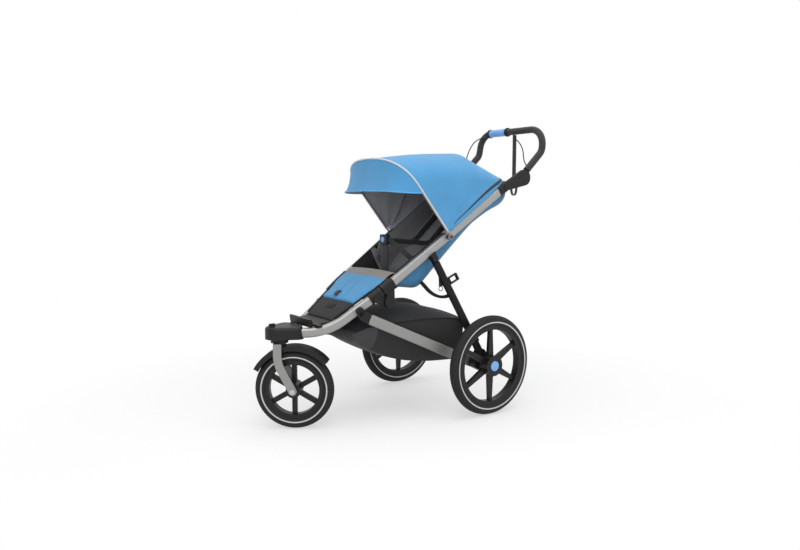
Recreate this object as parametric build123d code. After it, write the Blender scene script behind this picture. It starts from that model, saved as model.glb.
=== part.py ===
"""Three-wheeled jogging stroller: folding tube frame, fabric seat, canopy, basket and swivel front wheel.

Millimetres. X points forward from the rear axle, Y to the rider's left, Z up from the floor.
The finished pieces are moved along X together, so that the origin is under the middle of the stroller.
"""

import os
from math import acos, atan2, cos, degrees, hypot, radians, sin, tan

from build123d import *

# Clearances
CLEAR = 0.4
RUNNING = 0.05

# Wheels
TRACK = 640
REAR_TYRE_RADIUS = 200
FRONT_TYRE_RADIUS = 150
TYRE_SECTION = 45
REAR_RIM_DEPTH = 56
FRONT_RIM_DEPTH = 55
RIM_WIDTH = 32
SPOKES = 6
SPOKE_DEPTH = 14
REAR_SPOKE_ROOT = 27
REAR_SPOKE_TIP = 16
FRONT_SPOKE_WIDTH = 19
REAR_HUB_RADIUS = 41
REAR_HUB_INNER = 22
REAR_HUB_OUTER = 30
FRONT_HUB_RADIUS = 28
FRONT_HUB_WIDTH = 66
VALVE_RADIUS = 4
VALVE_LENGTH = 22
PART_SINK = 4
HUB_BUTTON_RADIUS = 20
HUB_BUTTON_HEIGHT = 8
HUB_BUTTON_TRAVEL = 3
HUB_BUTTON_PROUD = 3
REAR_RIM_OPENING = REAR_TYRE_RADIUS - REAR_RIM_DEPTH
FRONT_RIM_OPENING = FRONT_TYRE_RADIUS - FRONT_RIM_DEPTH

# Main tubes, left side: knuckle in the middle, handle end at the top, yoke end at the front
TUBE_HEIGHT = 36
TUBE_WIDTH = 24
TUBE_CORNER = 8
TUBE_WALL = 2
KNUCKLE_POINT = (415, 165, 510)
TUBE_TOP = (-172, 213, 915)
FRAME_OVER_TYRE = 66
FRONT_FRAME_Z = 2 * FRONT_TYRE_RADIUS + FRAME_OVER_TYRE
LOWER_BEND = (623, 108, FRONT_FRAME_Z)
LOWER_END = (725, 48, FRONT_FRAME_Z)
LOWER_BEND_RADIUS = 240

# Fold knuckles
HINGE_DROP = 50
KNUCKLE_EYE = 22
KNUCKLE_GAP = 2
KNUCKLE_SLEEVE = 58
SLEEVE_WALL = 3
TONGUE_HALF = 7.5
CHEEK = 7
HINGE_PIN_RADIUS = 5
CROSS_TUBE_RADIUS = 11
CROSS_TUBE_WALL = 2

# Rear legs, stays and rear axle
LEG_PIVOT_X = 205
LEG_PIVOT_DROP = 33
LEG_OFFSET = 10
LEG_CHEEK = 4
LEG_WIDTH = 18
LEG_DEPTH = 32
LEG_WALL = 2
LEG_EYE = 12
LEG_CLAMP_LENGTH = 44
LEG_CLAMP_LIP = 5
HOUSING_GAP = 2
HOUSING_WIDTH = 34
HOUSING_RADIUS = 34
HOUSING_STAY_RADIUS = 20
HOUSING_LEG_RADIUS = 17
HOUSING_OUTER = TRACK / 2 - REAR_HUB_INNER - HOUSING_GAP
HOUSING_INNER = HOUSING_OUTER - HOUSING_WIDTH
LEG_INSET = 16
LEG_RISE = 46
LEG_FOOT = (18, HOUSING_OUTER - LEG_INSET, REAR_TYRE_RADIUS + LEG_RISE)
AXLE_RADIUS = 8
REAR_TUBE_RADIUS = 12
STAY_RISE = 5
STAY_REAR = (40, REAR_TYRE_RADIUS + STAY_RISE)
STAY_FRONT_X = 492
STAY_DROP = 38.7
STAY_INSET = 10
STAY_REAR_Y = HOUSING_INNER - STAY_INSET
STAY_FRONT_Y = 171
STAY_HEIGHT = 40
STAY_WIDTH = 16
STAY_WALL = 2
STAY_CORNER = 4
STAY_PIN_RADIUS = 6
STAY_NECK = 22
STAY_CAP_RADIUS = 19
STAY_CAP_LENGTH = 36
STAY_GAP = 0.6
LUG_WIDTH = 15
LUG_RADIUS = 14
LUG_REACH = 30
LOOP_SIZE = (46, 30, 14)
LOOP_WALL = 6
LOOP_SPOT = 95

# Parking brake pedal
PEDAL_WIDTH = 84
PEDAL_LENGTH = 62
PEDAL_PLATE = 8
PEDAL_WALL = 5

# Yoke, fork and front wheel
SWIVEL_X = 766
TRAIL = 55
REST_SWIVEL = -38
YOKE_HALF = 23
YOKE_BOTTOM = FRONT_FRAME_Z - YOKE_HALF
YOKE_TOP = FRONT_FRAME_Z + YOKE_HALF
YOKE_NOSE = 46
YOKE_REAR = 26
YOKE_EDGE = 11
YOKE_LEAD = 8
YOKE_OVERLAP = 6
YOKE_ROOF = 6
STEERER_SHORT = 8
STEERER_RADIUS = 14
COLLAR_RADIUS = 33
COLLAR_HEIGHT = 15
CROWN_HALF = 17
CROWN_SEAT = 12
BLADE_WIDTH = 31
BLADE_THICKNESS = 9
BLADE_BEND = 105
BLADE_BEND_RADIUS = 120
HUB_TO_BLADE = 3.5
FRONT_AXLE_RADIUS = 5
AXLE_CAP_RADIUS = 10
AXLE_CAP = 6
FENDER_GAP = 16
FENDER_WALL = 3
FENDER_HALF = 30
FENDER_SKIRT = 20
FENDER_FRONT = 28
FENDER_REAR = 140
KNOB_OFFSET = 30
KNOB_RADIUS = 12
KNOB_HEIGHT = 12
KNOB_STEM_RADIUS = 5
KNOB_STEM = 18
KNOB_BAR = 6

# Footrest and leg panel
FOOTREST_REAR = (588, FRONT_FRAME_Z + 33)
FOOTREST_FRONT = (680, FRONT_FRAME_Z + 19)
FOOTREST_HALF = 117
FOOTREST_SIDE_GAP = 2.6
FOOTREST_WAIST = (641, 647, 87.5)
FOOTREST_WING_END = 664
FOOTREST_TIP_HALF = 80
FOOTREST_PLATE = 7
FOOTREST_LIP = 30
FOOTREST_LEAN = 4
LEG_PANEL_TOP = (426, 509)
LEG_PANEL_BOTTOM = (578, FRONT_FRAME_Z + 38)
LEG_PANEL_THICK = 16
LEG_PANEL_CROWN = 6

# Seat bucket
SIDE_TOP_FRONT = (352, 547)
SIDE_TOP_REAR = (40, 762)
SIDE_FOOT = (203, 150, 514)
SIDE_OUTLINE_LOW = ((8, 699), (137, 568), (203, 514), (343, 524))
SIDE_THICK = 3
PAN_FRONT = (392, 528)
PAN_REAR = (230, 512)
PAN_THICK = 34
PAN_CROWN = 7
RECLINE_PIVOT = (212, 530)
RECLINE_ROD_RADIUS = 4
RECLINE_SLEEVE_RADIUS = 9
RECLINE_SLEEVE_HALF = 100
BACK_ANGLE = 137.2
BACK_LENGTH = 560
BACK_THICK = 36
BACK_CROWN = 8
BACK_HALF = 142
STRAP_PAD = (38, 240, 9)
STRAP_PAD_START = 190
STRAP_PAD_Y = 55
STRAP_PAD_GAP = 0.3
CROTCH_X = 290
CROTCH_SIZE = (12, 50, 118)
BUCKLE_SIZE = (18, 48, 40)
BUTTON_RADIUS = 11
BUTTON_HEIGHT = 9
BUTTON_TRAVEL = 3
BUTTON_PROUD = 4
BUCKLE_CORNER = 8
WAIST_STRAP = (3, 25)
WAIST_ANCHOR = (225, 600)

# Canopy: a fan about the pivot line, angles measured up from straight ahead
CANOPY_PIVOT = (119, 711)
CANOPY_HALF = 222
CANOPY_CLOTH = 3
FRONT_BOW_ANGLE = 51
MID_BOW_ANGLE = 115
UPPER_ANGLE = 130
REAR_ANGLE = 140.5
FRONT_BOW_Y = 214.2
FRONT_BOW_RADIUS = 4
FRONT_BOW_TOP = 376
MID_BOW_Y = 206.6
MID_BOW_RADIUS = 3
MID_BOW_TOP = 369
BOW_CORNER = 140
EYE_INSET = 0.5
STUD_RADIUS = 4
STUD_END = 221
VISOR_ANGLE = 34.5
VISOR_START = 0.2
FRONT_ARCH = (26, 250, 95, 388, 398)
SAG_ARCH = (26, 215, 110, 328, 338)
MID_ARCH = (240, 120, 378, 388)
UPPER_ARCH = (290, 150, 376, 381)
REAR_ARCH = (340, 190, 386, 391)
VISOR_BASE = 204
VISOR_ARCH = (185, 290, 300, 110, 318, 322)
CANOPY_UNDERCUT = 16
VISOR_UNDERCUT = 14

# Handlebar
HANDLE_PIVOT = (-268, 951)
HANDLE_Y = 203
HANDLE_KNEE = (-390, 1065)
HANDLE_TOP = (-410, 1166)
HANDLE_KNEE_RADIUS = 45
HANDLE_LEFT_RADIUS = 86
HANDLE_RIGHT_RADIUS = 60
HANDLE_TUBE_RADIUS = 10
GRIP_RADIUS = 15
GRIP_START = 46
HANDLE_DISC_RADIUS = 22
BRACKET_DISC_RADIUS = 33
BRACKET_WIDTH = 14
BRACKET_SLEEVE = 45
BRACKET_PIN_RADIUS = 6
BRACKET_OFFSET = 11.5
BRACKET_END = 6
HANDLE_DISC_HALF = 11
HANDLE_BORE = 8
TWIST_Y = -88
TWIST_LENGTH = 104
TWIST_RADIUS = 17
TWIST_GAP = 2
CABLE_RADIUS = 2.5
STRAP_WIDTH = 15
STRAP_THICK = 3
STRAP_Y = 16
STRAP_DROP = 135
STRAP_LOOP = (36, 96)

# Cargo basket
BASKET_CLOTH = 4
BASKET_CLEAR = 1.8
BASKET_REAR_HALF = HOUSING_INNER - 30
BASKET_MOUTH_HEM = 72
BASKET_MOUTH_SILL = 50
BASKET_MOUTH_TOP = 8
BASKET_STATIONS = ((62, 380, 150, 200, 20), (180, 392, 140, 206, 36), (330, 388, 120, 232, 34),
                   (440, 381, 100, 280, 22), (520, 356, 70, 324, 8))


STANDING = (Align.CENTER, Align.CENTER, Align.MIN)


def unit(dx, dz):
    """Direction of the given length-one step in the side view."""
    length = hypot(dx, dz)
    return dx / length, dz / length


def step(point, direction, distance):
    """Point moved along a direction in the side view."""
    return point[0] + direction[0] * distance, point[1] + direction[1] * distance


# Side-view directions of the main tube: up along it, and out of its top face
TUBE_UP = unit(TUBE_TOP[0] - KNUCKLE_POINT[0], TUBE_TOP[2] - KNUCKLE_POINT[2])
TUBE_OUT = (TUBE_UP[1], -TUBE_UP[0])
FOLD_HINGE = step((KNUCKLE_POINT[0], KNUCKLE_POINT[2]), TUBE_OUT, -HINGE_DROP)


def tube_at(x):
    """Point of the left upper tube's axis at a place along X."""
    share = (KNUCKLE_POINT[0] - x) / (KNUCKLE_POINT[0] - TUBE_TOP[0])
    return tuple(a + share * (b - a) for a, b in zip(KNUCKLE_POINT, TUBE_TOP))


LEG_PIVOT = step((LEG_PIVOT_X, tube_at(LEG_PIVOT_X)[2]), TUBE_OUT, -LEG_PIVOT_DROP)


def along(start, end, lateral=(0, 1, 0)):
    """Plane at start that faces end, with its x axis as near to lateral as it can be."""
    axis = (Vector(*end) - Vector(*start)).normalized()
    side = Vector(*lateral)
    side = (side - axis * side.dot(axis)).normalized()
    return Plane(origin=start, x_dir=side, z_dir=axis)


def distance(start, end):
    """Straight distance between two points."""
    return (Vector(*end) - Vector(*start)).length


def slab(outline, low, high):
    """Side-view outline made solid between two places across the stroller."""
    return extrude(Plane.XZ.offset(-high) * outline, high - low)


def hull(*circles):
    """Outline pulled tight round circles given as (x, z, radius)."""
    edges = ShapeList()
    for x, z, radius in circles:
        edges += (Pos(x, z) * Circle(radius)).edges()
    return make_hull(edges)


def cross_rod(point, radius, low, high):
    """Round rod across the stroller at a side-view point."""
    return slab(Pos(*point) * Circle(radius), low, high)


def box_section(width, height, corner):
    """Rounded rectangle, width across and height up."""
    return RectangleRounded(width, height, corner)


def bar(start, end, width, height, corner):
    """Straight solid bar of rounded rectangular section."""
    return extrude(along(start, end) * box_section(width, height, corner), distance(start, end))


def right_of(shape):
    """The same piece on the stroller's right side."""
    return mirror(shape, about=Plane.XZ)


UPPER_PLANE = along(KNUCKLE_POINT, TUBE_TOP)
UPPER_LENGTH = distance(KNUCKLE_POINT, TUBE_TOP)
LOWER_PLANE = along(KNUCKLE_POINT, LOWER_BEND)


def upper_core(grow, start, end):
    """Solid stretch of the upper tube's outside, grown by a wall."""
    section = box_section(TUBE_WIDTH + 2 * grow, TUBE_HEIGHT + 2 * grow, TUBE_CORNER + grow)
    return extrude(UPPER_PLANE.offset(start) * section, end - start)


def upper_tube():
    """Straight upper frame tube."""
    outside = upper_core(0, KNUCKLE_GAP, UPPER_LENGTH)
    return outside - upper_core(-TUBE_WALL, KNUCKLE_GAP, UPPER_LENGTH)


def lower_core(grow):
    """Solid bent lower tube from the knuckle to the yoke."""
    start = LOWER_PLANE.offset(KNUCKLE_GAP)
    section = box_section(TUBE_WIDTH + 2 * grow, TUBE_HEIGHT + 2 * grow, TUBE_CORNER + grow)
    path = FilletPolyline(tuple(start.origin), LOWER_BEND, LOWER_END, radius=LOWER_BEND_RADIUS)
    return sweep(start * section, path=path)


def lower_tube():
    """Bent lower frame tube."""
    return lower_core(0) - lower_core(-TUBE_WALL)


KNUCKLE_Y = KNUCKLE_POINT[1]
TUBE_DOWN = (-TUBE_UP[0], -TUBE_UP[1])


def knuckle_web(direction):
    """Outline from the fold hinge up to the sleeve that lies in the given direction."""
    root = step((KNUCKLE_POINT[0], KNUCKLE_POINT[2]), direction, KNUCKLE_SLEEVE - KNUCKLE_EYE * 0.75)
    root = step(root, TUBE_OUT, -TUBE_WALL * 3)
    return hull((*FOLD_HINGE, KNUCKLE_EYE), (*root, KNUCKLE_EYE / 2))


def upper_knuckle():
    """Sleeve on the upper tube with two cheeks that take the hinge pin."""
    sleeve = upper_core(SLEEVE_WALL, KNUCKLE_GAP, KNUCKLE_SLEEVE)
    inner = TONGUE_HALF + CLEAR
    for side in (-1, 1):
        middle = KNUCKLE_Y + side * (inner + CHEEK / 2)
        sleeve += slab(knuckle_web(TUBE_UP), middle - CHEEK / 2, middle + CHEEK / 2)
    sleeve -= upper_core(0, 0, UPPER_LENGTH)
    return sleeve - cross_rod(FOLD_HINGE, HINGE_PIN_RADIUS, KNUCKLE_Y - TUBE_HEIGHT, KNUCKLE_Y + TUBE_HEIGHT)


def lower_knuckle():
    """Sleeve on the lower tube with the tongue that turns between the cheeks."""
    wall = 2 * SLEEVE_WALL
    section = box_section(TUBE_WIDTH + wall, TUBE_HEIGHT + wall, TUBE_CORNER + SLEEVE_WALL)
    sleeve = extrude(LOWER_PLANE.offset(KNUCKLE_GAP) * section, KNUCKLE_SLEEVE - KNUCKLE_GAP)
    sleeve += slab(knuckle_web(TUBE_DOWN), KNUCKLE_Y - TONGUE_HALF, KNUCKLE_Y + TONGUE_HALF)
    sleeve -= lower_core(0)
    bore = HINGE_PIN_RADIUS + RUNNING
    return sleeve - cross_rod(FOLD_HINGE, bore, KNUCKLE_Y - TUBE_HEIGHT, KNUCKLE_Y + TUBE_HEIGHT)


KNUCKLE_HALF = TONGUE_HALF + CLEAR + CHEEK


def hinge_pin():
    """Pin of one fold knuckle."""
    return cross_rod(FOLD_HINGE, HINGE_PIN_RADIUS, KNUCKLE_Y - KNUCKLE_HALF, KNUCKLE_Y + KNUCKLE_HALF)


def knuckle_cross_tube():
    """Tube between the two knuckles, in line with the fold hinge."""
    reach = KNUCKLE_Y - KNUCKLE_HALF
    tube = cross_rod(FOLD_HINGE, CROSS_TUBE_RADIUS, -reach, reach)
    return tube - cross_rod(FOLD_HINGE, CROSS_TUBE_RADIUS - CROSS_TUBE_WALL, -reach, reach)


LEG_Y = tube_at(LEG_PIVOT_X)[1] + LEG_OFFSET
LEG_EYE_HALF = LEG_WIDTH / 2 - CLEAR


def leg_bracket():
    """Saddle under and inside the upper tube with two lugs and the pin of the rear leg."""
    middle = (KNUCKLE_POINT[0] - LEG_PIVOT_X) / (KNUCKLE_POINT[0] - TUBE_TOP[0]) * UPPER_LENGTH
    clamp = upper_core(SLEEVE_WALL, middle - LEG_CLAMP_LENGTH / 2, middle + LEG_CLAMP_LENGTH / 2)
    half = LEG_WIDTH / 2
    outer = half + LEG_CHEEK
    lug = hull((*LEG_PIVOT, LEG_EYE), (*step(LEG_PIVOT, TUBE_OUT, LEG_PIVOT_DROP - LEG_EYE), LEG_EYE))
    clamp += slab(lug, LEG_Y - outer, LEG_Y + outer)
    slot_radius = LEG_EYE + CLEAR
    below = step(LEG_PIVOT, TUBE_OUT, -2 * LEG_EYE)
    clamp -= slab(hull((*LEG_PIVOT, slot_radius), (*below, slot_radius)), LEG_Y - half, LEG_Y + half)
    clamp += cross_rod(LEG_PIVOT, HINGE_PIN_RADIUS, LEG_Y - outer, LEG_Y + outer)
    floor = step(LEG_PIVOT, TUBE_OUT, LEG_PIVOT_DROP - TUBE_HEIGHT / 2 + LEG_CLAMP_LIP)
    lower = step(floor, TUBE_UP, -LEG_CLAMP_LENGTH)
    upper = step(floor, TUBE_UP, LEG_CLAMP_LENGTH)
    above = [step(corner, TUBE_OUT, 2 * TUBE_HEIGHT) for corner in (upper, lower)]
    spare = make_face(Polyline(lower, upper, *above, close=True))
    clamp -= slab(spare, tube_at(LEG_PIVOT_X)[1] - TUBE_WIDTH / 2, LEG_Y + TUBE_HEIGHT)
    return clamp - upper_core(0, 0, UPPER_LENGTH)


def axle_housing():
    """Block at the foot of a leg that carries the axle stub and the stay's pin."""
    leg_end = (LEG_FOOT[0], LEG_FOOT[2], HOUSING_LEG_RADIUS)
    outline = hull((0, REAR_TYRE_RADIUS, HOUSING_RADIUS), (*STAY_REAR, HOUSING_STAY_RADIUS), leg_end)
    block = slab(outline, HOUSING_INNER, HOUSING_OUTER)
    block += cross_rod(STAY_REAR, STAY_PIN_RADIUS, STAY_REAR_Y - STAY_WIDTH * 0.75, HOUSING_INNER)
    return block - cross_rod((0, REAR_TYRE_RADIUS), AXLE_RADIUS, HOUSING_INNER - 1, HOUSING_OUTER + 1)


def rear_leg():
    """Flat-oval leg with its pivot eye, standing on the axle housing."""
    eye_point = (LEG_PIVOT[0], LEG_Y, LEG_PIVOT[1])
    foot = LEG_FOOT
    reach = distance(eye_point, foot)
    top = tuple(a + (b - a) * LEG_EYE * 5 / 3 / reach for a, b in zip(eye_point, foot))
    corner = LEG_WIDTH / 2 - 1
    leg = bar(top, foot, LEG_WIDTH, LEG_DEPTH, corner)
    hollow_top = tuple(a + (b - a) * 3.5 * LEG_EYE / reach for a, b in zip(eye_point, foot))
    inside = corner - LEG_WALL
    leg -= bar(hollow_top, foot, LEG_WIDTH - 2 * LEG_WALL, LEG_DEPTH - 2 * LEG_WALL, inside)
    neck = hull((*LEG_PIVOT, LEG_EYE - 1), (top[0], top[2], LEG_EYE - 1))
    leg += slab(neck, LEG_Y - LEG_EYE_HALF, LEG_Y + LEG_EYE_HALF)
    leg -= cross_rod(LEG_PIVOT, HINGE_PIN_RADIUS + RUNNING, LEG_Y - LEG_WIDTH, LEG_Y + LEG_WIDTH)
    return leg - axle_housing()


def carry_loop():
    """Plastic loop clipped to the rear edge of the left leg."""
    eye_point = (LEG_PIVOT[0], LEG_Y, LEG_PIVOT[1])
    plane = along(eye_point, LEG_FOOT).offset(LOOP_SPOT)
    length, height, width = LOOP_SIZE
    centre = (LEG_DEPTH + length) / 2
    outline = Pos(0, -centre) * Rectangle(width, length)
    loop = extrude(plane * outline, height)
    window = Pos(0, -centre) * Rectangle(width + 2, length - 2 * LOOP_WALL)
    return loop - extrude(plane.offset(LOOP_WALL) * window, height - 2 * LOOP_WALL)


def rear_axle():
    """Cross tube between the housings with an axle stub at each end."""
    centre = (0, REAR_TYRE_RADIUS)
    axle = cross_rod(centre, REAR_TUBE_RADIUS, -HOUSING_INNER, HOUSING_INNER)
    reach = TRACK / 2 + REAR_HUB_OUTER - HUB_BUTTON_HEIGHT - HUB_BUTTON_TRAVEL
    return axle + cross_rod(centre, AXLE_RADIUS, -reach, reach)


def brake_pedal():
    """Sleeve on the rear cross tube with a foot plate that points back."""
    centre = (0, REAR_TYRE_RADIUS)
    half = PEDAL_WIDTH / 2
    outer = REAR_TUBE_RADIUS + PEDAL_WALL
    pedal = cross_rod(centre, outer, -half, half)
    plate = Rectangle(PEDAL_LENGTH, PEDAL_PLATE)
    plate = Pos(-PEDAL_LENGTH / 2, REAR_TYRE_RADIUS + outer - PEDAL_PLATE / 2) * plate
    pedal += slab(plate, -half, half)
    return pedal - cross_rod(centre, REAR_TUBE_RADIUS + RUNNING, -half, half)


LOWER_SLOPE = (FRONT_FRAME_Z - KNUCKLE_POINT[2]) / (LOWER_BEND[0] - KNUCKLE_POINT[0])
STAY_FRONT = (STAY_FRONT_X, KNUCKLE_POINT[2] + LOWER_SLOPE * (STAY_FRONT_X - KNUCKLE_POINT[0]) - STAY_DROP)
STAY_DIR = unit(STAY_FRONT[0] - STAY_REAR[0], STAY_FRONT[1] - STAY_REAR[1])
STAY_BAR_REAR = step(STAY_REAR, STAY_DIR, STAY_NECK)
STAY_BAR_FRONT = step(STAY_FRONT, STAY_DIR, -STAY_CAP_LENGTH / 2)


def stay_cap():
    """Moulded end of a stay at the front pivot."""
    back = step(STAY_FRONT, STAY_DIR, -STAY_CAP_LENGTH)
    outline = hull((*STAY_FRONT, STAY_CAP_RADIUS), (*back, STAY_CAP_RADIUS))
    return slab(outline, STAY_FRONT_Y - STAY_WIDTH / 2, STAY_FRONT_Y + STAY_WIDTH / 2)


def stay():
    """Flat tube from the axle housing to the front pivot."""
    eye_y = STAY_REAR_Y
    start = (STAY_BAR_REAR[0], eye_y, STAY_BAR_REAR[1])
    end = (STAY_BAR_FRONT[0], STAY_FRONT_Y, STAY_BAR_FRONT[1])
    tube = bar(start, end, STAY_WIDTH, STAY_HEIGHT, STAY_CORNER)
    inside = (STAY_WIDTH - 2 * STAY_WALL, STAY_HEIGHT - 2 * STAY_WALL, STAY_CORNER - STAY_WALL)
    tube -= bar(start, end, *inside)
    neck = hull((*STAY_REAR, STAY_HEIGHT / 2), (*STAY_BAR_REAR, STAY_HEIGHT / 2))
    tube += slab(neck, eye_y - STAY_WIDTH / 2, eye_y + STAY_WIDTH / 2)
    tube -= cross_rod(STAY_REAR, STAY_PIN_RADIUS + RUNNING, eye_y - STAY_WIDTH, eye_y + STAY_WIDTH)
    return tube - stay_cap()


def stay_lug():
    """Lug under the lower tube beside the stay's front end."""
    outer = STAY_FRONT_Y - STAY_WIDTH / 2 - STAY_GAP
    root = step(STAY_FRONT, TUBE_OUT, LUG_REACH)
    lug = slab(hull((*STAY_FRONT, LUG_RADIUS), (*root, LUG_RADIUS)), outer - LUG_WIDTH, outer)
    return lug - lower_core(0)


def tyre(radius):
    """Tyre about the Y axis."""
    return Rot(90, 0, 0) * Torus(radius - TYRE_SECTION / 2, TYRE_SECTION / 2)


def wheel_ring(radius, opening):
    """Rim ring with the groove that the tyre sits in."""
    seat = radius - TYRE_SECTION / 2
    ring = cross_rod((0, 0), seat, -RIM_WIDTH / 2, RIM_WIDTH / 2)
    ring -= cross_rod((0, 0), opening, -RIM_WIDTH, RIM_WIDTH)
    return ring - Rot(90, 0, 0) * Torus(seat, TYRE_SECTION / 2 + CLEAR / 2)


def spoke_set(hub, opening, root_width, tip_width):
    """Tapered spokes that start inside the hub and end inside the rim."""
    root_radius = hub - PART_SINK
    tip_radius = opening + PART_SINK / 2
    half_root = root_width / 2
    half_tip = tip_width / 2
    outline = make_face(Polyline(
        (-half_root, root_radius), (half_root, root_radius), (half_tip, tip_radius), (-half_tip, tip_radius),
        close=True))
    one = slab(outline, -SPOKE_DEPTH / 2, SPOKE_DEPTH / 2)
    return [Rot(0, k * 360 / SPOKES, 0) * one for k in range(SPOKES)]


def valve(opening):
    """Valve stem that stands in from the rim between two spokes."""
    stem = Cylinder(VALVE_RADIUS, VALVE_LENGTH + PART_SINK, align=STANDING)
    return Rot(0, 360 / SPOKES / 2, 0) * Pos(0, 0, opening - VALVE_LENGTH) * stem


def rear_rim():
    """Rear rim, spokes and hub; the hub has the axle bore and a recess for the button."""
    rim = wheel_ring(REAR_TYRE_RADIUS, REAR_RIM_OPENING)
    for spoke in spoke_set(REAR_HUB_RADIUS, REAR_RIM_OPENING, REAR_SPOKE_ROOT, REAR_SPOKE_TIP):
        rim += spoke
    rim += cross_rod((0, 0), REAR_HUB_RADIUS, -REAR_HUB_INNER, REAR_HUB_OUTER)
    rim += valve(REAR_RIM_OPENING)
    rim -= cross_rod((0, 0), AXLE_RADIUS + RUNNING, -REAR_HUB_INNER - 1, REAR_HUB_OUTER + 1)
    recess = HUB_BUTTON_HEIGHT + HUB_BUTTON_TRAVEL
    return rim - cross_rod((0, 0), HUB_BUTTON_RADIUS + RUNNING, REAR_HUB_OUTER - recess, REAR_HUB_OUTER + 1)


def hub_button():
    """Quick-release button in the hub's outer face."""
    foot = REAR_HUB_OUTER - HUB_BUTTON_HEIGHT + CLEAR
    button = cross_rod((0, 0), HUB_BUTTON_RADIUS, foot, REAR_HUB_OUTER + HUB_BUTTON_PROUD)
    return fillet(button.edges().group_by(Axis.Y)[-1], HUB_BUTTON_PROUD * 2 / 3)


def at_rear_wheel(shape):
    """Wheel piece moved from its own axle to the left rear axle."""
    return Pos(0, TRACK / 2, REAR_TYRE_RADIUS) * shape


FRONT_AXLE = (-TRAIL, FRONT_TYRE_RADIUS)
CROWN_BOTTOM = 2 * FRONT_TYRE_RADIUS + FENDER_GAP - CROWN_SEAT
CROWN_TOP = YOKE_BOTTOM - CLEAR - COLLAR_HEIGHT
BLADE_INNER = FRONT_HUB_WIDTH / 2 + HUB_TO_BLADE


def at_swivel(shape):
    """Fork piece moved to the swivel axis and turned to its place in the photographed pose."""
    return Pos(SWIVEL_X, 0, 0) * Rot(0, 0, REST_SWIVEL) * shape


def fender_outside():
    """Round outside of the fender, used to seat the crown on it."""
    radius = FRONT_TYRE_RADIUS + FENDER_GAP + FENDER_WALL
    return cross_rod(FRONT_AXLE, radius, -2 * FENDER_HALF, 2 * FENDER_HALF)


def fork_crown():
    """Crown block, collar and steerer in one piece."""
    block = Box(2 * CROWN_HALF, 2 * BLADE_INNER, CROWN_TOP - CROWN_BOTTOM, align=STANDING)
    crown = Pos(0, 0, CROWN_BOTTOM) * block - fender_outside()
    crown += Pos(0, 0, CROWN_TOP) * Cylinder(COLLAR_RADIUS, COLLAR_HEIGHT, align=STANDING)
    steerer = YOKE_TOP - CROWN_TOP - STEERER_SHORT
    return crown + Pos(0, 0, CROWN_TOP) * Cylinder(STEERER_RADIUS, steerer, align=STANDING)


def fork_blade():
    """Flat blade that runs down from the crown and sweeps back to the axle, left side."""
    top = (0, CROWN_TOP)
    knee = (0, FRONT_TYRE_RADIUS + BLADE_BEND)
    middle = BLADE_INNER + BLADE_THICKNESS / 2
    points = [(x, middle, z) for x, z in (top, knee, FRONT_AXLE)]
    path = FilletPolyline(*points, radius=BLADE_BEND_RADIUS)
    section = along(points[0], points[1]) * Rectangle(BLADE_THICKNESS, BLADE_WIDTH)
    blade = sweep(section, path=path)
    blade += cross_rod(FRONT_AXLE, BLADE_WIDTH / 2, BLADE_INNER, BLADE_INNER + BLADE_THICKNESS)
    return blade - cross_rod(FRONT_AXLE, FRONT_AXLE_RADIUS, 0, BLADE_INNER + BLADE_WIDTH)


def fender():
    """Channel-shaped mudguard over the front tyre."""
    inner = FRONT_TYRE_RADIUS + FENDER_GAP
    outer = inner + FENDER_WALL
    skirt = outer - FENDER_SKIRT
    profile = make_face(Polyline(
        (-FENDER_HALF, skirt), (-FENDER_HALF, outer), (FENDER_HALF, outer), (FENDER_HALF, skirt),
        (FENDER_HALF - FENDER_WALL, skirt), (FENDER_HALF - FENDER_WALL, inner),
        (-FENDER_HALF + FENDER_WALL, inner), (-FENDER_HALF + FENDER_WALL, skirt), close=True))
    turn = radians(FENDER_FRONT)
    facing = Plane(origin=(0, 0, 0), x_dir=(0, 1, 0), z_dir=(-sin(turn), 0, cos(turn)))
    turned = facing * (Rot(0, 0, 180) * profile)
    band = revolve(turned, Axis((0, 0, 0), (0, -1, 0)), FENDER_REAR - FENDER_FRONT)
    return Pos(FRONT_AXLE[0], 0, FRONT_AXLE[1]) * band


def front_axle():
    """Axle rod with a cap outside each blade."""
    cap = BLADE_INNER + BLADE_THICKNESS
    axle = cross_rod(FRONT_AXLE, FRONT_AXLE_RADIUS, -cap, cap)
    axle += cross_rod(FRONT_AXLE, AXLE_CAP_RADIUS, cap, cap + AXLE_CAP)
    return axle + cross_rod(FRONT_AXLE, AXLE_CAP_RADIUS, -cap - AXLE_CAP, -cap)


def front_rim():
    """Front rim, spokes and hub about its own axle."""
    rim = wheel_ring(FRONT_TYRE_RADIUS, FRONT_RIM_OPENING)
    for spoke in spoke_set(FRONT_HUB_RADIUS, FRONT_RIM_OPENING, FRONT_SPOKE_WIDTH, FRONT_SPOKE_WIDTH):
        rim += spoke
    half = FRONT_HUB_WIDTH / 2
    rim += cross_rod((0, 0), FRONT_HUB_RADIUS, -half, half)
    rim += valve(FRONT_RIM_OPENING)
    return rim - cross_rod((0, 0), FRONT_AXLE_RADIUS + RUNNING, -half - 1, half + 1)


def at_front_wheel(shape):
    """Wheel piece moved from its own axle into the fork."""
    return at_swivel(Pos(FRONT_AXLE[0], 0, FRONT_AXLE[1]) * shape)


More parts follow.
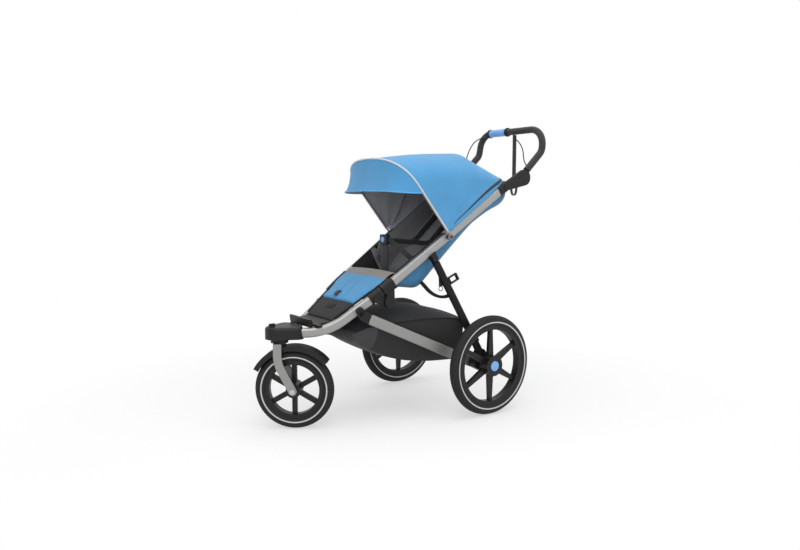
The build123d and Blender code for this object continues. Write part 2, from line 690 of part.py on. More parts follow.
def yoke():
    """Housing that joins the lower tubes and holds the steerer."""
    rear_y = LOWER_END[1]
    rear_x = LOWER_END[0] - YOKE_OVERLAP
    nose = (SWIVEL_X + YOKE_LEAD, 0, YOKE_NOSE)
    outline = hull(nose, (rear_x, rear_y, YOKE_REAR), (rear_x, -rear_y, YOKE_REAR))
    body = extrude(Pos(0, 0, YOKE_BOTTOM) * outline, YOKE_TOP - YOKE_BOTTOM)
    body = fillet(body.edges().group_by(Axis.Z)[-1], YOKE_EDGE)
    bore = Cylinder(STEERER_RADIUS + RUNNING, 2 * YOKE_HALF - YOKE_ROOF, align=STANDING)
    body -= Pos(SWIVEL_X, 0, YOKE_BOTTOM) * bore
    knob = Pos(SWIVEL_X + KNOB_OFFSET, 0, YOKE_TOP - KNOB_STEM)
    body -= knob * Cylinder(KNOB_STEM_RADIUS + RUNNING, KNOB_STEM + 1, align=STANDING)
    return body - lower_core(0) - right_of(lower_core(0))


def lock_knob():
    """Swivel lock knob on the yoke's nose, with a grip bar across its top."""
    knob = Pos(0, 0, CLEAR) * Cylinder(KNOB_RADIUS, KNOB_HEIGHT - CLEAR, align=STANDING)
    knob += Pos(0, 0, -KNOB_STEM + 1) * Cylinder(KNOB_STEM_RADIUS, KNOB_STEM, align=STANDING)
    shoulder = Box(4 * KNOB_RADIUS, 2 * KNOB_RADIUS - KNOB_BAR, KNOB_HEIGHT)
    knob -= Pos(0, KNOB_RADIUS, KNOB_HEIGHT) * shoulder
    knob -= Pos(0, -KNOB_RADIUS, KNOB_HEIGHT) * shoulder
    return Pos(SWIVEL_X + KNOB_OFFSET, 0, YOKE_TOP) * knob


def footrest():
    """Foot plate between the lower tubes with a raised front lip; its wings rest on the tubes."""
    rear_x, rear_z = FOOTREST_REAR
    front_x, front_z = FOOTREST_FRONT
    plate = FOOTREST_PLATE
    side = make_face(Polyline(
        (rear_x, rear_z), (front_x, front_z), (front_x + FOOTREST_LEAN, front_z + FOOTREST_LIP),
        (front_x - plate, front_z + FOOTREST_LIP), (front_x - 2 * plate, front_z + plate + FOOTREST_LEAN),
        (rear_x, rear_z + plate), close=True))
    rear_half = lower_half(rear_x) - TUBE_WIDTH / 2 - FOOTREST_SIDE_GAP
    waist_start, waist_end, waist_half = FOOTREST_WAIST
    tip_x = front_x + FOOTREST_LEAN
    wing_x = FOOTREST_WING_END
    left = [(rear_x, rear_half), (waist_start, waist_half), (waist_end, waist_half),
            (waist_end, FOOTREST_HALF), (wing_x, FOOTREST_HALF),
            (wing_x, FOOTREST_TIP_HALF), (tip_x, FOOTREST_TIP_HALF)]
    plan = make_face(Polyline(*left, *[(x, -y) for x, y in reversed(left)], close=True))
    return slab(side, -FOOTREST_HALF, FOOTREST_HALF) & extrude(plan, 2 * FOOTREST_REAR[1])


def lower_half(x):
    """Half spacing of the lower tubes' axes at a place along X."""
    start, end = (KNUCKLE_POINT, LOWER_BEND) if x < LOWER_BEND[0] else (LOWER_BEND, LOWER_END)
    return start[1] + (end[1] - start[1]) * (x - start[0]) / (end[0] - start[0])


def pad(start, end, stations):
    """Cushion along a side-view line; each station is (distance, half width, thickness, crown)."""
    direction = unit(end[0] - start[0], end[1] - start[1])
    sections = []
    for place, half, thick, crown in stations:
        x, z = step(start, direction, place)
        plane = Plane(origin=(x, 0, z), x_dir=(0, -1, 0), z_dir=(direction[0], 0, direction[1]))
        edge = Polyline((-half, thick), (-half, 0), (half, 0), (half, thick))
        top = ThreePointArc((half, thick), (0, thick + crown), (-half, thick))
        sections.append(plane * make_face(Curve() + [edge, top]))
    return loft(sections, ruled=True)


def leg_panel():
    """Padded calf panel between the lower tubes."""
    length = hypot(LEG_PANEL_TOP[0] - LEG_PANEL_BOTTOM[0], LEG_PANEL_TOP[1] - LEG_PANEL_BOTTOM[1])
    wall = TUBE_WIDTH / 2 + 2 * CLEAR
    low = lower_half(LEG_PANEL_BOTTOM[0]) - wall
    high = lower_half(LEG_PANEL_TOP[0]) - wall - SLEEVE_WALL
    mid = (low + high) / 2 - 3
    thick, crown = LEG_PANEL_THICK, LEG_PANEL_CROWN
    stations = ((0, low, thick / 2, crown / 2), (length / 8, low + 2, thick, crown),
                (length / 2, mid, thick, crown), (length, high, thick * 0.7, crown / 2))
    return pad(LEG_PANEL_BOTTOM, LEG_PANEL_TOP, stations)


def side_y(x, z):
    """Place across the stroller of the left seat side's outer face."""
    inset = TUBE_WIDTH / 2 + SLEEVE_WALL + 2 * CLEAR
    front = Vector(SIDE_TOP_FRONT[0], tube_at(SIDE_TOP_FRONT[0])[1] - inset, SIDE_TOP_FRONT[1])
    rear = Vector(SIDE_TOP_REAR[0], tube_at(SIDE_TOP_REAR[0])[1] - inset, SIDE_TOP_REAR[1])
    normal = (rear - front).cross(Vector(*SIDE_FOOT) - front)
    return front.Y - (normal.X * (x - front.X) + normal.Z * (z - front.Z)) / normal.Y


def seat_side():
    """Fabric side of the seat bucket, from the upper tube down to the pan."""
    corners = [(x, side_y(x, z), z) for x, z in (SIDE_TOP_FRONT, SIDE_TOP_REAR, *SIDE_OUTLINE_LOW)]
    face = make_face(Polyline(*corners, close=True))
    toward = -1 if face.faces()[0].normal_at().Y > 0 else 1
    return extrude(face, toward * SIDE_THICK)


def seat_pan():
    """Seat cushion between the seat sides."""
    length = hypot(PAN_FRONT[0] - PAN_REAR[0], PAN_FRONT[1] - PAN_REAR[1])
    half = SIDE_FOOT[1] - SIDE_THICK - CLEAR
    stations = ((0, half - 4, PAN_THICK / 2, PAN_CROWN / 2), (length / 5, half, PAN_THICK, PAN_CROWN),
                (length * 3 / 5, half - 3, PAN_THICK, PAN_CROWN),
                (length, half, PAN_THICK * 0.75, PAN_CROWN / 2))
    return pad(PAN_FRONT, PAN_REAR, stations)


def recline_rod():
    """Rod across the seat crease that the backrest hangs on."""
    reach = side_y(*RECLINE_PIVOT) - SIDE_THICK - 2 * CLEAR
    return cross_rod(RECLINE_PIVOT, RECLINE_ROD_RADIUS, -reach, reach)


BACK_DIR = (cos(radians(BACK_ANGLE)), sin(radians(BACK_ANGLE)))
BACK_OUT = (BACK_DIR[1], -BACK_DIR[0])
BACK_START = step(step(RECLINE_PIVOT, BACK_DIR, 4), BACK_OUT, -BACK_THICK / 3)


def backrest():
    """Padded backrest with the sleeve that turns on the recline rod."""
    end = step(BACK_START, BACK_DIR, BACK_LENGTH)
    thick, crown, half = BACK_THICK, BACK_CROWN, BACK_HALF
    stations = ((0, half - 12, thick * 2 / 3, crown / 2), (60, half, thick, crown),
                (BACK_LENGTH / 2, half - 4, thick, crown), (BACK_LENGTH - 60, half + 6, thick, crown),
                (BACK_LENGTH, half - 4, thick / 2, crown / 2))
    rest = pad(BACK_START, end, stations)
    rest += cross_rod(RECLINE_PIVOT, RECLINE_SLEEVE_RADIUS, -RECLINE_SLEEVE_HALF, RECLINE_SLEEVE_HALF)
    return rest - cross_rod(RECLINE_PIVOT, RECLINE_ROD_RADIUS + RUNNING, -2 * BACK_HALF, 2 * BACK_HALF)


def shoulder_pad():
    """Padded shoulder strap lying on the backrest, left side."""
    width, length, thick = STRAP_PAD
    share = STRAP_PAD_Y - width / 2
    level = BACK_THICK + BACK_CROWN * (1 - (share / BACK_HALF) ** 2) + STRAP_PAD_GAP
    low = step(step(BACK_START, BACK_DIR, STRAP_PAD_START), BACK_OUT, level + thick / 2)
    high = step(low, BACK_DIR, length)
    start = (low[0], STRAP_PAD_Y, low[1])
    return bar(start, (high[0], STRAP_PAD_Y, high[1]), width, thick, thick / 2 - 0.5)


def pan_top(x):
    """Height of the pan's crown line at a place along X, in the even stretch of the cushion."""
    slope = (PAN_FRONT[1] - PAN_REAR[1]) / (PAN_FRONT[0] - PAN_REAR[0])
    return PAN_REAR[1] + slope * (x - PAN_REAR[0]) + (PAN_THICK + PAN_CROWN) * hypot(1, slope)


CROTCH_BASE = pan_top(CROTCH_X + CROTCH_SIZE[0] / 2) + CLEAR
BUCKLE_Z = CROTCH_BASE + CROTCH_SIZE[2] + BUCKLE_SIZE[2] / 2


def crotch_pad():
    """Padded crotch strap that stands on the pan and carries the buckle."""
    depth, width, height = CROTCH_SIZE
    body = Pos(CROTCH_X, 0, CROTCH_BASE + height / 2) * Box(depth, width, height)
    return fillet(body.edges().filter_by(Axis.Z), depth / 2 - 1)


def buckle():
    """Harness buckle with the pocket of its button."""
    depth, width, height = BUCKLE_SIZE
    body = Pos(CROTCH_X, 0, BUCKLE_Z) * Box(depth, width, height)
    body = fillet(body.edges().filter_by(Axis.X), BUCKLE_CORNER)
    front = CROTCH_X + depth / 2
    pocket = BUTTON_HEIGHT - BUTTON_PROUD + BUTTON_TRAVEL + CLEAR
    well = Rot(0, 90, 0) * Cylinder(BUTTON_RADIUS + RUNNING, pocket + 2)
    well = Pos(front - pocket / 2 + 1, 0, BUCKLE_Z) * well
    return body - well


def buckle_button():
    """Press button of the harness buckle."""
    front = CROTCH_X + BUCKLE_SIZE[0] / 2
    place = Pos(front + BUTTON_PROUD - BUTTON_HEIGHT / 2, 0, BUCKLE_Z) * Rot(0, 90, 0)
    return place * Cylinder(BUTTON_RADIUS, BUTTON_HEIGHT)


def waist_strap():
    """Waist strap from the buckle back to the seat side, left side."""
    thick, height = WAIST_STRAP
    anchor_y = side_y(*WAIST_ANCHOR) - SIDE_THICK - thick + CLEAR
    start = (CROTCH_X, BUCKLE_SIZE[1] / 2 + thick / 2, BUCKLE_Z)
    return bar(start, (WAIST_ANCHOR[0], anchor_y, WAIST_ANCHOR[1]), thick, height, 1)


def fan_plane(angle):
    """Plane through the canopy's pivot line, with x across and y away from the pivot."""
    turn = radians(angle)
    origin = (CANOPY_PIVOT[0], 0, CANOPY_PIVOT[1])
    return Plane(origin=origin, x_dir=(0, 1, 0), z_dir=(sin(turn), 0, -cos(turn)))


def arch(angle, half, base, shoulder, top_half, top, apex):
    """Closed arch outline in the fan plane: straight legs, round shoulders, gently crowned top."""
    lean = cos(radians(45))
    mid = (top_half + (half - top_half) * lean, shoulder + (top - shoulder) * lean)
    legs = [Line((-half, base), (half, base)), Line((half, base), (half, shoulder))]
    right = ThreePointArc((half, shoulder), mid, (top_half, top))
    crown = ThreePointArc((top_half, top), (0, apex), (-top_half, top))
    left = ThreePointArc((-top_half, top), (-mid[0], mid[1]), (-half, shoulder))
    last = Line((-half, shoulder), (-half, base))
    return fan_plane(angle) * make_face(Curve() + [*legs, right, crown, left, last])


def cloth_shell(arches, thick, undercut):
    """Thin sheet over a row of arches, open below and at both ends."""
    outer = loft([arch(*row) for row in arches], ruled=True)
    inner = []
    for angle, half, base, shoulder, top_half, top, apex in arches:
        lining = (base - undercut, shoulder, top_half, top - thick, apex - thick)
        inner.append(arch(angle, half - thick, *lining))
    return outer - loft(inner, ruled=True)


def tube_clear(angle):
    """Distance from the pivot at which a ray at this angle clears the top of the upper tube."""
    tube_angle = degrees(atan2(TUBE_UP[1], TUBE_UP[0]))
    return (TUBE_HEIGHT / 2 + CANOPY_CLOTH) / sin(radians(tube_angle - angle))


def canopy_cover():
    """Canopy cloth from the front bow over the mid bow down to the upper tubes."""
    half = CANOPY_HALF
    arches = (
        (FRONT_BOW_ANGLE, half, *FRONT_ARCH),
        ((FRONT_BOW_ANGLE + MID_BOW_ANGLE) / 2, half, *SAG_ARCH),
        (MID_BOW_ANGLE, half, tube_clear(MID_BOW_ANGLE), *MID_ARCH),
        (UPPER_ANGLE, half, tube_clear(UPPER_ANGLE), *UPPER_ARCH),
        (REAR_ANGLE, half, tube_clear(REAR_ANGLE), *REAR_ARCH),
    )
    return cloth_shell(arches, CANOPY_CLOTH, CANOPY_UNDERCUT)


def visor():
    """Sun visor in front of the front bow."""
    start = FRONT_BOW_ANGLE - VISOR_START
    arches = ((start, CANOPY_HALF, VISOR_BASE, *FRONT_ARCH[1:]), (VISOR_ANGLE, *VISOR_ARCH))
    return cloth_shell(arches, CANOPY_CLOTH, VISOR_UNDERCUT)


def bow(angle, across, top, radius, eye):
    """Round bow in the fan plane, with an eye on each canopy stud."""
    plane = fan_plane(angle)
    foot = eye * 2 / 3
    corners = ((across, foot), (across, top), (-across, top), (-across, foot))
    points = [tuple(plane.from_local_coords(Vector(x, y, 0))) for x, y in corners]
    path = FilletPolyline(*points, radius=BOW_CORNER)
    frame = sweep(along(points[0], points[1]) * Circle(radius), path=path)
    for side in (-1, 1):
        half = radius - EYE_INSET
        frame += cross_rod(CANOPY_PIVOT, eye, side * across - half, side * across + half)
        ends = (side * across - radius, side * across + radius)
        frame -= cross_rod(CANOPY_PIVOT, STUD_RADIUS + RUNNING, *ends)
    return frame


def canopy_stud():
    """Stud on the outside of the upper tube that the bows turn on."""
    tube_y = tube_at(CANOPY_PIVOT[0])[1]
    face = MID_BOW_Y - MID_BOW_RADIUS - CLEAR
    stud = cross_rod(CANOPY_PIVOT, STUD_RADIUS, tube_y, STUD_END)
    stud += cross_rod(CANOPY_PIVOT, 2 * STUD_RADIUS, tube_y, face)
    return stud - upper_core(0, 0, UPPER_LENGTH)


BRACKET_INNER = HANDLE_Y + BRACKET_OFFSET


def handle_bracket():
    """Moulded bracket from the upper tube's end to the handle pivot, with the pivot pin."""
    sleeve = upper_core(SLEEVE_WALL, UPPER_LENGTH - BRACKET_SLEEVE, UPPER_LENGTH + BRACKET_END)
    outline = hull((TUBE_TOP[0], TUBE_TOP[2], TUBE_HEIGHT / 2), (*HANDLE_PIVOT, BRACKET_DISC_RADIUS))
    bracket = sleeve + slab(outline, BRACKET_INNER, BRACKET_INNER + BRACKET_WIDTH)
    bracket -= upper_core(0, 0, UPPER_LENGTH)
    return bracket + cross_rod(HANDLE_PIVOT, BRACKET_PIN_RADIUS, HANDLE_Y - HANDLE_BORE + 1, BRACKET_INNER)


def handle_side(start):
    """Corner points of the handlebar's left side, from a distance past its pivot up to the cross bar."""
    toward = unit(HANDLE_KNEE[0] - HANDLE_PIVOT[0], HANDLE_KNEE[1] - HANDLE_PIVOT[1])
    foot = step(HANDLE_PIVOT, toward, start)
    return [(x, HANDLE_Y, z) for x, z in (foot, HANDLE_KNEE, HANDLE_TOP)]


def handle_sweep(points, bends, radius):
    """Round bar along the handlebar's corner points, each rounded by its bend."""
    path = FilletPolyline(*points, radius=bends)
    return sweep(along(points[0], points[1]) * Circle(radius), path=path)


def handle_tube():
    """Handlebar tube with a pivot disc at each foot."""
    left = handle_side(0)
    bends = [HANDLE_KNEE_RADIUS, HANDLE_LEFT_RADIUS, HANDLE_RIGHT_RADIUS, HANDLE_KNEE_RADIUS]
    tube = handle_sweep(left + [(x, -y, z) for x, y, z in reversed(left)], bends, HANDLE_TUBE_RADIUS)
    for side in (-1, 1):
        edges = (side * (HANDLE_Y - HANDLE_DISC_HALF), side * (BRACKET_INNER - CLEAR))
        tube += cross_rod(HANDLE_PIVOT, HANDLE_DISC_RADIUS, min(edges), max(edges))
        bore = (side * (HANDLE_Y - HANDLE_BORE), side * BRACKET_INNER)
        tube -= cross_rod(HANDLE_PIVOT, BRACKET_PIN_RADIUS + RUNNING, min(bore), max(bore))
    return tube


def grip(end, corner):
    """Foam grip from one foot of the handlebar round its corner to a place on the cross bar."""
    points = [*handle_side(GRIP_START), (HANDLE_TOP[0], end, HANDLE_TOP[1])]
    bends = [HANDLE_KNEE_RADIUS, corner]
    bore = HANDLE_TUBE_RADIUS + RUNNING
    return handle_sweep(points, bends, GRIP_RADIUS) - handle_sweep(points, bends, bore)


def twist_sleeve():
    """Twist brake sleeve on the cross bar."""
    ends = (TWIST_Y - TWIST_LENGTH / 2, TWIST_Y + TWIST_LENGTH / 2)
    sleeve = cross_rod(HANDLE_TOP, TWIST_RADIUS, *ends)
    return sleeve - cross_rod(HANDLE_TOP, HANDLE_TUBE_RADIUS + RUNNING, *ends)


def handle_point(y, reach, lean):
    """Point beside the handlebar: place across, distance from the pivot, angle up from straight ahead."""
    turn = radians(lean)
    return HANDLE_PIVOT[0] + reach * cos(turn), y, HANDLE_PIVOT[1] + reach * sin(turn)


CABLE_LEFT = ((18, 239, 123.4), (34, 221, 124), (72, 200, 126), (108, 166, 129),
              (132, 128, 132), (153, 98, 135), (185.8, 73.6, 136.9))
CABLE_RIGHT = ((-150, 238, 122), (-166, 220, 117), (-182, 190, 112), (-191, 150, 110),
               (-197, 112, 111), (-201, 72, 112), (-203, 32.4, 113))


def brake_cable(route):
    """Brake cable in a loop from the cross bar to the foot of the handlebar."""
    points = [handle_point(*place) for place in route]
    radii = []
    for before, here, after in zip(points, points[1:], points[2:]):
        first = Vector(*here) - Vector(*before)
        second = Vector(*after) - Vector(*here)
        half_turn = radians(first.get_angle(second)) / 2
        radii.append(0.45 * min(first.length, second.length) / tan(half_turn))
    path = FilletPolyline(*points, radius=radii)
    return sweep(along(points[0], points[1]) * Circle(CABLE_RADIUS), path=path)


def wrist_strap():
    """Safety strap that hangs from the cross bar, with a hand loop at its end."""
    top = HANDLE_TOP[1] - GRIP_RADIUS - CLEAR
    x = HANDLE_TOP[0]
    loop_width, loop_height = STRAP_LOOP
    stem = Pos(x, STRAP_Y, top - STRAP_DROP / 2) * Box(STRAP_WIDTH, STRAP_THICK, STRAP_DROP)
    outline = SlotCenterToCenter(loop_height - loop_width, loop_width, rotation=90)
    ring = outline - SlotCenterToCenter(loop_height - loop_width, loop_width - 2 * STRAP_THICK, rotation=90)
    place = Plane(origin=(x - STRAP_WIDTH / 2, STRAP_Y, top - STRAP_DROP - loop_height / 2 + STRAP_THICK),
                  x_dir=(0, 1, 0), z_dir=(1, 0, 0))
    return stem + extrude(place * ring, STRAP_WIDTH)


def basket_section(x, half_top, top, half_bottom, bottom, crown):
    """Cross-section of the basket at a place along X: flat floor, sides upright at the rim, crowned top."""
    flare = half_top - half_bottom
    radius = (flare ** 2 + (top - bottom) ** 2) / (2 * flare)
    half_sweep = acos((radius - flare) / radius) / 2
    mid = (half_top - radius + radius * cos(half_sweep), top - radius * sin(half_sweep))
    right = ThreePointArc((half_bottom, bottom), mid, (half_top, top))
    lid = ThreePointArc((half_top, top), (0, top + crown), (-half_top, top))
    left = ThreePointArc((-half_top, top), (-mid[0], mid[1]), (-half_bottom, bottom))
    floor = Line((-half_bottom, bottom), (half_bottom, bottom))
    plane = Plane(origin=(x, 0, 0), x_dir=(0, 1, 0), z_dir=(1, 0, 0))
    return plane * make_face(Curve() + [right, lid, left, floor])


def stay_inner(x):
    """Inner face of the left stay at a place along X."""
    share = (x - STAY_BAR_REAR[0]) / (STAY_BAR_FRONT[0] - STAY_BAR_REAR[0])
    return STAY_REAR_Y + share * (STAY_FRONT_Y - STAY_REAR_Y) - STAY_WIDTH / 2


def basket_half(x):
    """Half width of the basket's rim, which clears the stays and, at the back, the rear legs."""
    return min(stay_inner(x) - BASKET_CLEAR, BASKET_REAR_HALF)


def basket():
    """Cargo basket slung between the stays, with a wide mouth in its rear wall."""
    outer = []
    inner = []
    cloth = BASKET_CLOTH
    for x, top, half_bottom, bottom, crown in BASKET_STATIONS:
        half_top = basket_half(x)
        outer.append(basket_section(x, half_top, top, half_bottom, bottom, crown))
        floor = (half_bottom - cloth, bottom + cloth)
        inner.append(basket_section(x, half_top - cloth, top - cloth, *floor, crown))
    shell = loft(outer, ruled=True) - loft(inner, ruled=True)
    first, last = BASKET_STATIONS[0], BASKET_STATIONS[-1]
    for x, top, half_bottom, bottom, crown in (first, last):
        half_top = basket_half(x)
        wall = basket_section(x, half_top, top, half_bottom, bottom, crown)
        shell += extrude(wall, cloth if x == first[0] else -cloth)
    sill = first[3] + BASKET_MOUTH_SILL
    height = first[1] - BASKET_MOUTH_TOP - sill
    mouth = Box(4 * cloth, 2 * (BASKET_REAR_HALF - BASKET_MOUTH_HEM), height, align=STANDING)
    return shell - Pos(first[0], 0, sill) * mouth


def build():
    """Every piece by node name, in the working frame with the rear axle at X = 0."""
    nodes = {}
    for side, place in (("left", lambda shape: shape), ("right", right_of)):
        nodes["upper_tube_" + side] = place(upper_tube())
        nodes["lower_tube_" + side] = place(lower_tube())
        nodes["rear_leg_" + side] = place(rear_leg())
        nodes["stay_" + side] = place(stay())
        nodes["rear_tyre_" + side] = place(at_rear_wheel(tyre(REAR_TYRE_RADIUS)))
        nodes["rear_rim_" + side] = place(at_rear_wheel(rear_rim()))
        nodes["hub_button_" + side] = place(at_rear_wheel(hub_button()))
        nodes["fork_blade_" + side] = at_swivel(place(fork_blade()))
        nodes["handle_bracket_" + side] = place(handle_bracket())
    pairs = (("upper_knuckles", upper_knuckle()), ("lower_knuckles", lower_knuckle()),
             ("hinge_pins", hinge_pin()),
             ("leg_brackets", leg_bracket()), ("axle_housings", axle_housing()), ("stay_caps", stay_cap()),
             ("stay_lugs", stay_lug()), ("canopy_studs", canopy_stud()), ("seat_sides", seat_side()),
             ("shoulder_pads", shoulder_pad()), ("waist_straps", waist_strap()))
    for name, left in pairs:
        nodes[name] = Compound(children=[left, right_of(left)])
    nodes["knuckle_cross_tube"] = knuckle_cross_tube()
    nodes["rear_axle"] = rear_axle()
    nodes["brake_pedal"] = brake_pedal()
    nodes["carry_loop"] = carry_loop()
    nodes["yoke"] = yoke()
    nodes["lock_knob"] = lock_knob()
    nodes["footrest"] = footrest()
    nodes["leg_panel"] = leg_panel()
    nodes["fork_crown"] = at_swivel(fork_crown())
    nodes["fender"] = at_swivel(fender())
    nodes["front_axle"] = at_swivel(front_axle())
    nodes["front_tyre"] = at_front_wheel(tyre(FRONT_TYRE_RADIUS))
    nodes["front_rim"] = at_front_wheel(front_rim())
    nodes["seat_pan"] = seat_pan()
    nodes["recline_rod"] = recline_rod()
    nodes["backrest"] = backrest()
    nodes["crotch_pad"] = crotch_pad()
    nodes["buckle"] = buckle()
    nodes["buckle_button"] = buckle_button()
    nodes["canopy_cover"] = canopy_cover()
    nodes["visor"] = visor()
    front = (FRONT_BOW_ANGLE, FRONT_BOW_Y, FRONT_BOW_TOP, FRONT_BOW_RADIUS)
    nodes["front_bow"] = bow(*front, 3 * FRONT_BOW_RADIUS)
    nodes["mid_bow"] = bow(MID_BOW_ANGLE, MID_BOW_Y, MID_BOW_TOP, MID_BOW_RADIUS, 3 * MID_BOW_RADIUS)
    nodes["handle_tube"] = handle_tube()
    twist_end = TWIST_LENGTH / 2 + TWIST_GAP
    nodes["grip_left"] = grip(TWIST_Y + twist_end, HANDLE_LEFT_RADIUS)
    nodes["grip_right"] = right_of(grip(-(TWIST_Y - twist_end), HANDLE_RIGHT_RADIUS))
    nodes["twist_sleeve"] = twist_sleeve()
    nodes["brake_cable_left"] = brake_cable(CABLE_LEFT)
    nodes["brake_cable_right"] = brake_cable(CABLE_RIGHT)
    nodes["wrist_strap"] = wrist_strap()
    nodes["basket"] = basket()
    return nodes


def main():
    """Centre the stroller over the origin and write one file for each piece."""
    nodes = build()
    boxes = [shape.bounding_box() for shape in nodes.values()]
    middle = (min(box.min.X for box in boxes) + max(box.max.X for box in boxes)) / 2
    print("rear axle at X =", round(-middle, 4), "fold hinge", FOLD_HINGE, "leg pivot", LEG_PIVOT)
    os.makedirs("parts", exist_ok=True)
    for name, shape in nodes.items():
        export_step(Pos(-middle, 0, 0) * shape, "parts/" + name + ".step")


main()
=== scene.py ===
"""Looks of a folding three-wheeled stroller: cloth, padding, webbing, tyres and finishes over its frame.

Shapes are written in millimetres from the rear axle line, X forward, Y to the left and Z up from the floor,
and are moved into the frame's metres as each mesh is made.
"""

import math

import bpy
import numpy as np
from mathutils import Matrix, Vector


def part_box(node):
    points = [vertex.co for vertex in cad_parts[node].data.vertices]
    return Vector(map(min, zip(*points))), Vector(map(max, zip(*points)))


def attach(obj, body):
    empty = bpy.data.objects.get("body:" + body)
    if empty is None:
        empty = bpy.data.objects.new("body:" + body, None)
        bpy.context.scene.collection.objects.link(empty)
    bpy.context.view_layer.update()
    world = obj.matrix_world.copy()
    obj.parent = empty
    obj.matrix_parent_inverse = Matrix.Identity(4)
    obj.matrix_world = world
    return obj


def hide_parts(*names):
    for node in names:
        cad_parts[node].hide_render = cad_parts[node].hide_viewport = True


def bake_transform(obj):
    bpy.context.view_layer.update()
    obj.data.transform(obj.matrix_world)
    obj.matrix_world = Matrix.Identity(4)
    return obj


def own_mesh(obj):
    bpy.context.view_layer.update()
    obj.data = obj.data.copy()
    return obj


bl_info = {
    "name": "Three-wheeled stroller looks",
    "version": (1, 0, 0),
    "blender": (4, 5, 0),
    "location": "View3D > Sidebar > Stroller",
    "description": "Cloth, padding, tyres and finishes of a folding three-wheeled stroller",
    "category": "Object",
}

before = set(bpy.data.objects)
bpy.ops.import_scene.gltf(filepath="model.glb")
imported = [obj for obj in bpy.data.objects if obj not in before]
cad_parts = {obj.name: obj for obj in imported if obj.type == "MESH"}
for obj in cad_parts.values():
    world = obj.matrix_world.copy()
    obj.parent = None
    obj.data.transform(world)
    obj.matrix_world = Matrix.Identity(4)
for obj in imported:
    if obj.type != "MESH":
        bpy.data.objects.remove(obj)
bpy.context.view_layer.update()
MM = 0.001
SIDES = ((1, "left"), (-1, "right"))
AXLE_X = (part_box("rear_axle")[0].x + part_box("rear_axle")[1].x) / 2


def tint(name, description, default):
    """Colour setting."""
    return bpy.props.FloatVectorProperty(name=name, description=description, subtype="COLOR", default=default,
                                         min=0.0, max=1.0)


class StrollerColours(bpy.types.PropertyGroup):
    """Colours of the stroller's cloth and moulded pieces."""

    canopy_blue: tint("Canopy blue", "Blue of the canopy and leg panel cloth", (0.078, 0.305, 0.575))
    seat_grey: tint("Seat grey", "Grey of the seat lining", (0.185, 0.187, 0.198))
    basket_grey: tint("Basket grey", "Dark grey of the cargo basket", (0.022, 0.022, 0.0235))
    black: tint("Black", "Black of the mouldings and webbing", (0.0062, 0.0062, 0.0066))
    accent_blue: tint("Accent blue", "Blue of the buttons and the twist brake", (0.17, 0.36, 0.74))
    lining_grey: tint("Lining grey", "Grey of the canopy's lining", (0.40, 0.403, 0.43))
    band_grey: tint("Band grey", "Warm grey of the band over the seat's front edge", (0.25, 0.235, 0.225))
    silver: tint("Silver", "Satin silver of the tubes", (0.372, 0.368, 0.360))


class StrollerSizes(bpy.types.PropertyGroup):
    """Sizes of the soft pieces and of the camera's place."""

    cloth_thickness: bpy.props.FloatProperty(
        name="Cloth thickness", description="Thickness of the canopy cloth", unit="LENGTH",
        default=0.0012, min=0.0003, max=0.004)
    piping_radius: bpy.props.FloatProperty(
        name="Piping radius", description="Radius of the silver piping on the visor", unit="LENGTH",
        default=0.0034, min=0.001, max=0.006)
    tread_depth: bpy.props.FloatProperty(
        name="Tread depth", description="Depth of the grooves in the tyres", unit="LENGTH",
        default=0.0016, min=0.0, max=0.003)
    pad_swell: bpy.props.FloatProperty(
        name="Pad swell", description="Furthest that the padding swells", unit="LENGTH",
        default=0.006, min=0.0, max=0.016)
    camera_bearing: bpy.props.FloatProperty(
        name="Camera bearing", description="Angle from straight ahead round to the left", unit="ROTATION",
        default=math.radians(54.933))
    camera_height: bpy.props.FloatProperty(
        name="Camera elevation", description="Angle of the camera above the level", unit="ROTATION",
        default=math.radians(5.975))
    camera_distance: bpy.props.FloatProperty(
        name="Camera distance", description="Distance from the camera to what it looks at", unit="LENGTH",
        default=3.0, min=0.5)


def colours():
    """The stroller's colour settings."""
    return bpy.context.scene.stroller_colours


def sizes():
    """The stroller's size settings."""
    return bpy.context.scene.stroller_sizes


def to_frame(points):
    """Millimetres from the rear axle line to metres in the frame."""
    moved = np.asarray(points, float) * MM
    return moved + np.array([AXLE_X, 0.0, 0.0])


def spot(x, y, z):
    """One point in the frame, as a vector."""
    return Vector(to_frame((x, y, z)))


def node_middle(node):
    """Middle of a frame piece's box, in millimetres from the rear axle line."""
    low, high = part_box(node)
    middle = (np.array(low) + np.array(high)) / 2
    return (middle - np.array([AXLE_X, 0, 0])) / MM


def unit(vectors):
    """Vectors scaled to length one."""
    vectors = np.asarray(vectors, float)
    length = np.linalg.norm(vectors, axis=-1, keepdims=True)
    return vectors / np.maximum(length, 1e-12)


def ease(t):
    """Smooth step: 3t^2 - 2t^3 on t held between 0 and 1."""
    t = np.clip(t, 0.0, 1.0)
    return t * t * (3 - 2 * t)


def through(knots, values, places):
    """Cubic Hermite curve or surface through values at the knots, with slopes by finite differences."""
    knots = np.asarray(knots, float)
    values = np.asarray(values, float)
    places = np.asarray(places, float)
    slopes = np.gradient(values, knots, axis=0)
    index = np.clip(np.searchsorted(knots, places, side="right") - 1, 0, len(knots) - 2)
    width = knots[index + 1] - knots[index]
    t = (places - knots[index]) / width
    shape = (len(places),) + (1,) * (values.ndim - 1)
    t = t.reshape(shape)
    width = width.reshape(shape)
    keep = 2 * t ** 3 - 3 * t ** 2 + 1
    rise = t ** 3 - 2 * t ** 2 + t
    last = -2 * t ** 3 + 3 * t ** 2
    fall = t ** 3 - t ** 2
    return (keep * values[index] + rise * width * slopes[index] + last * values[index + 1]
            + fall * width * slopes[index + 1])


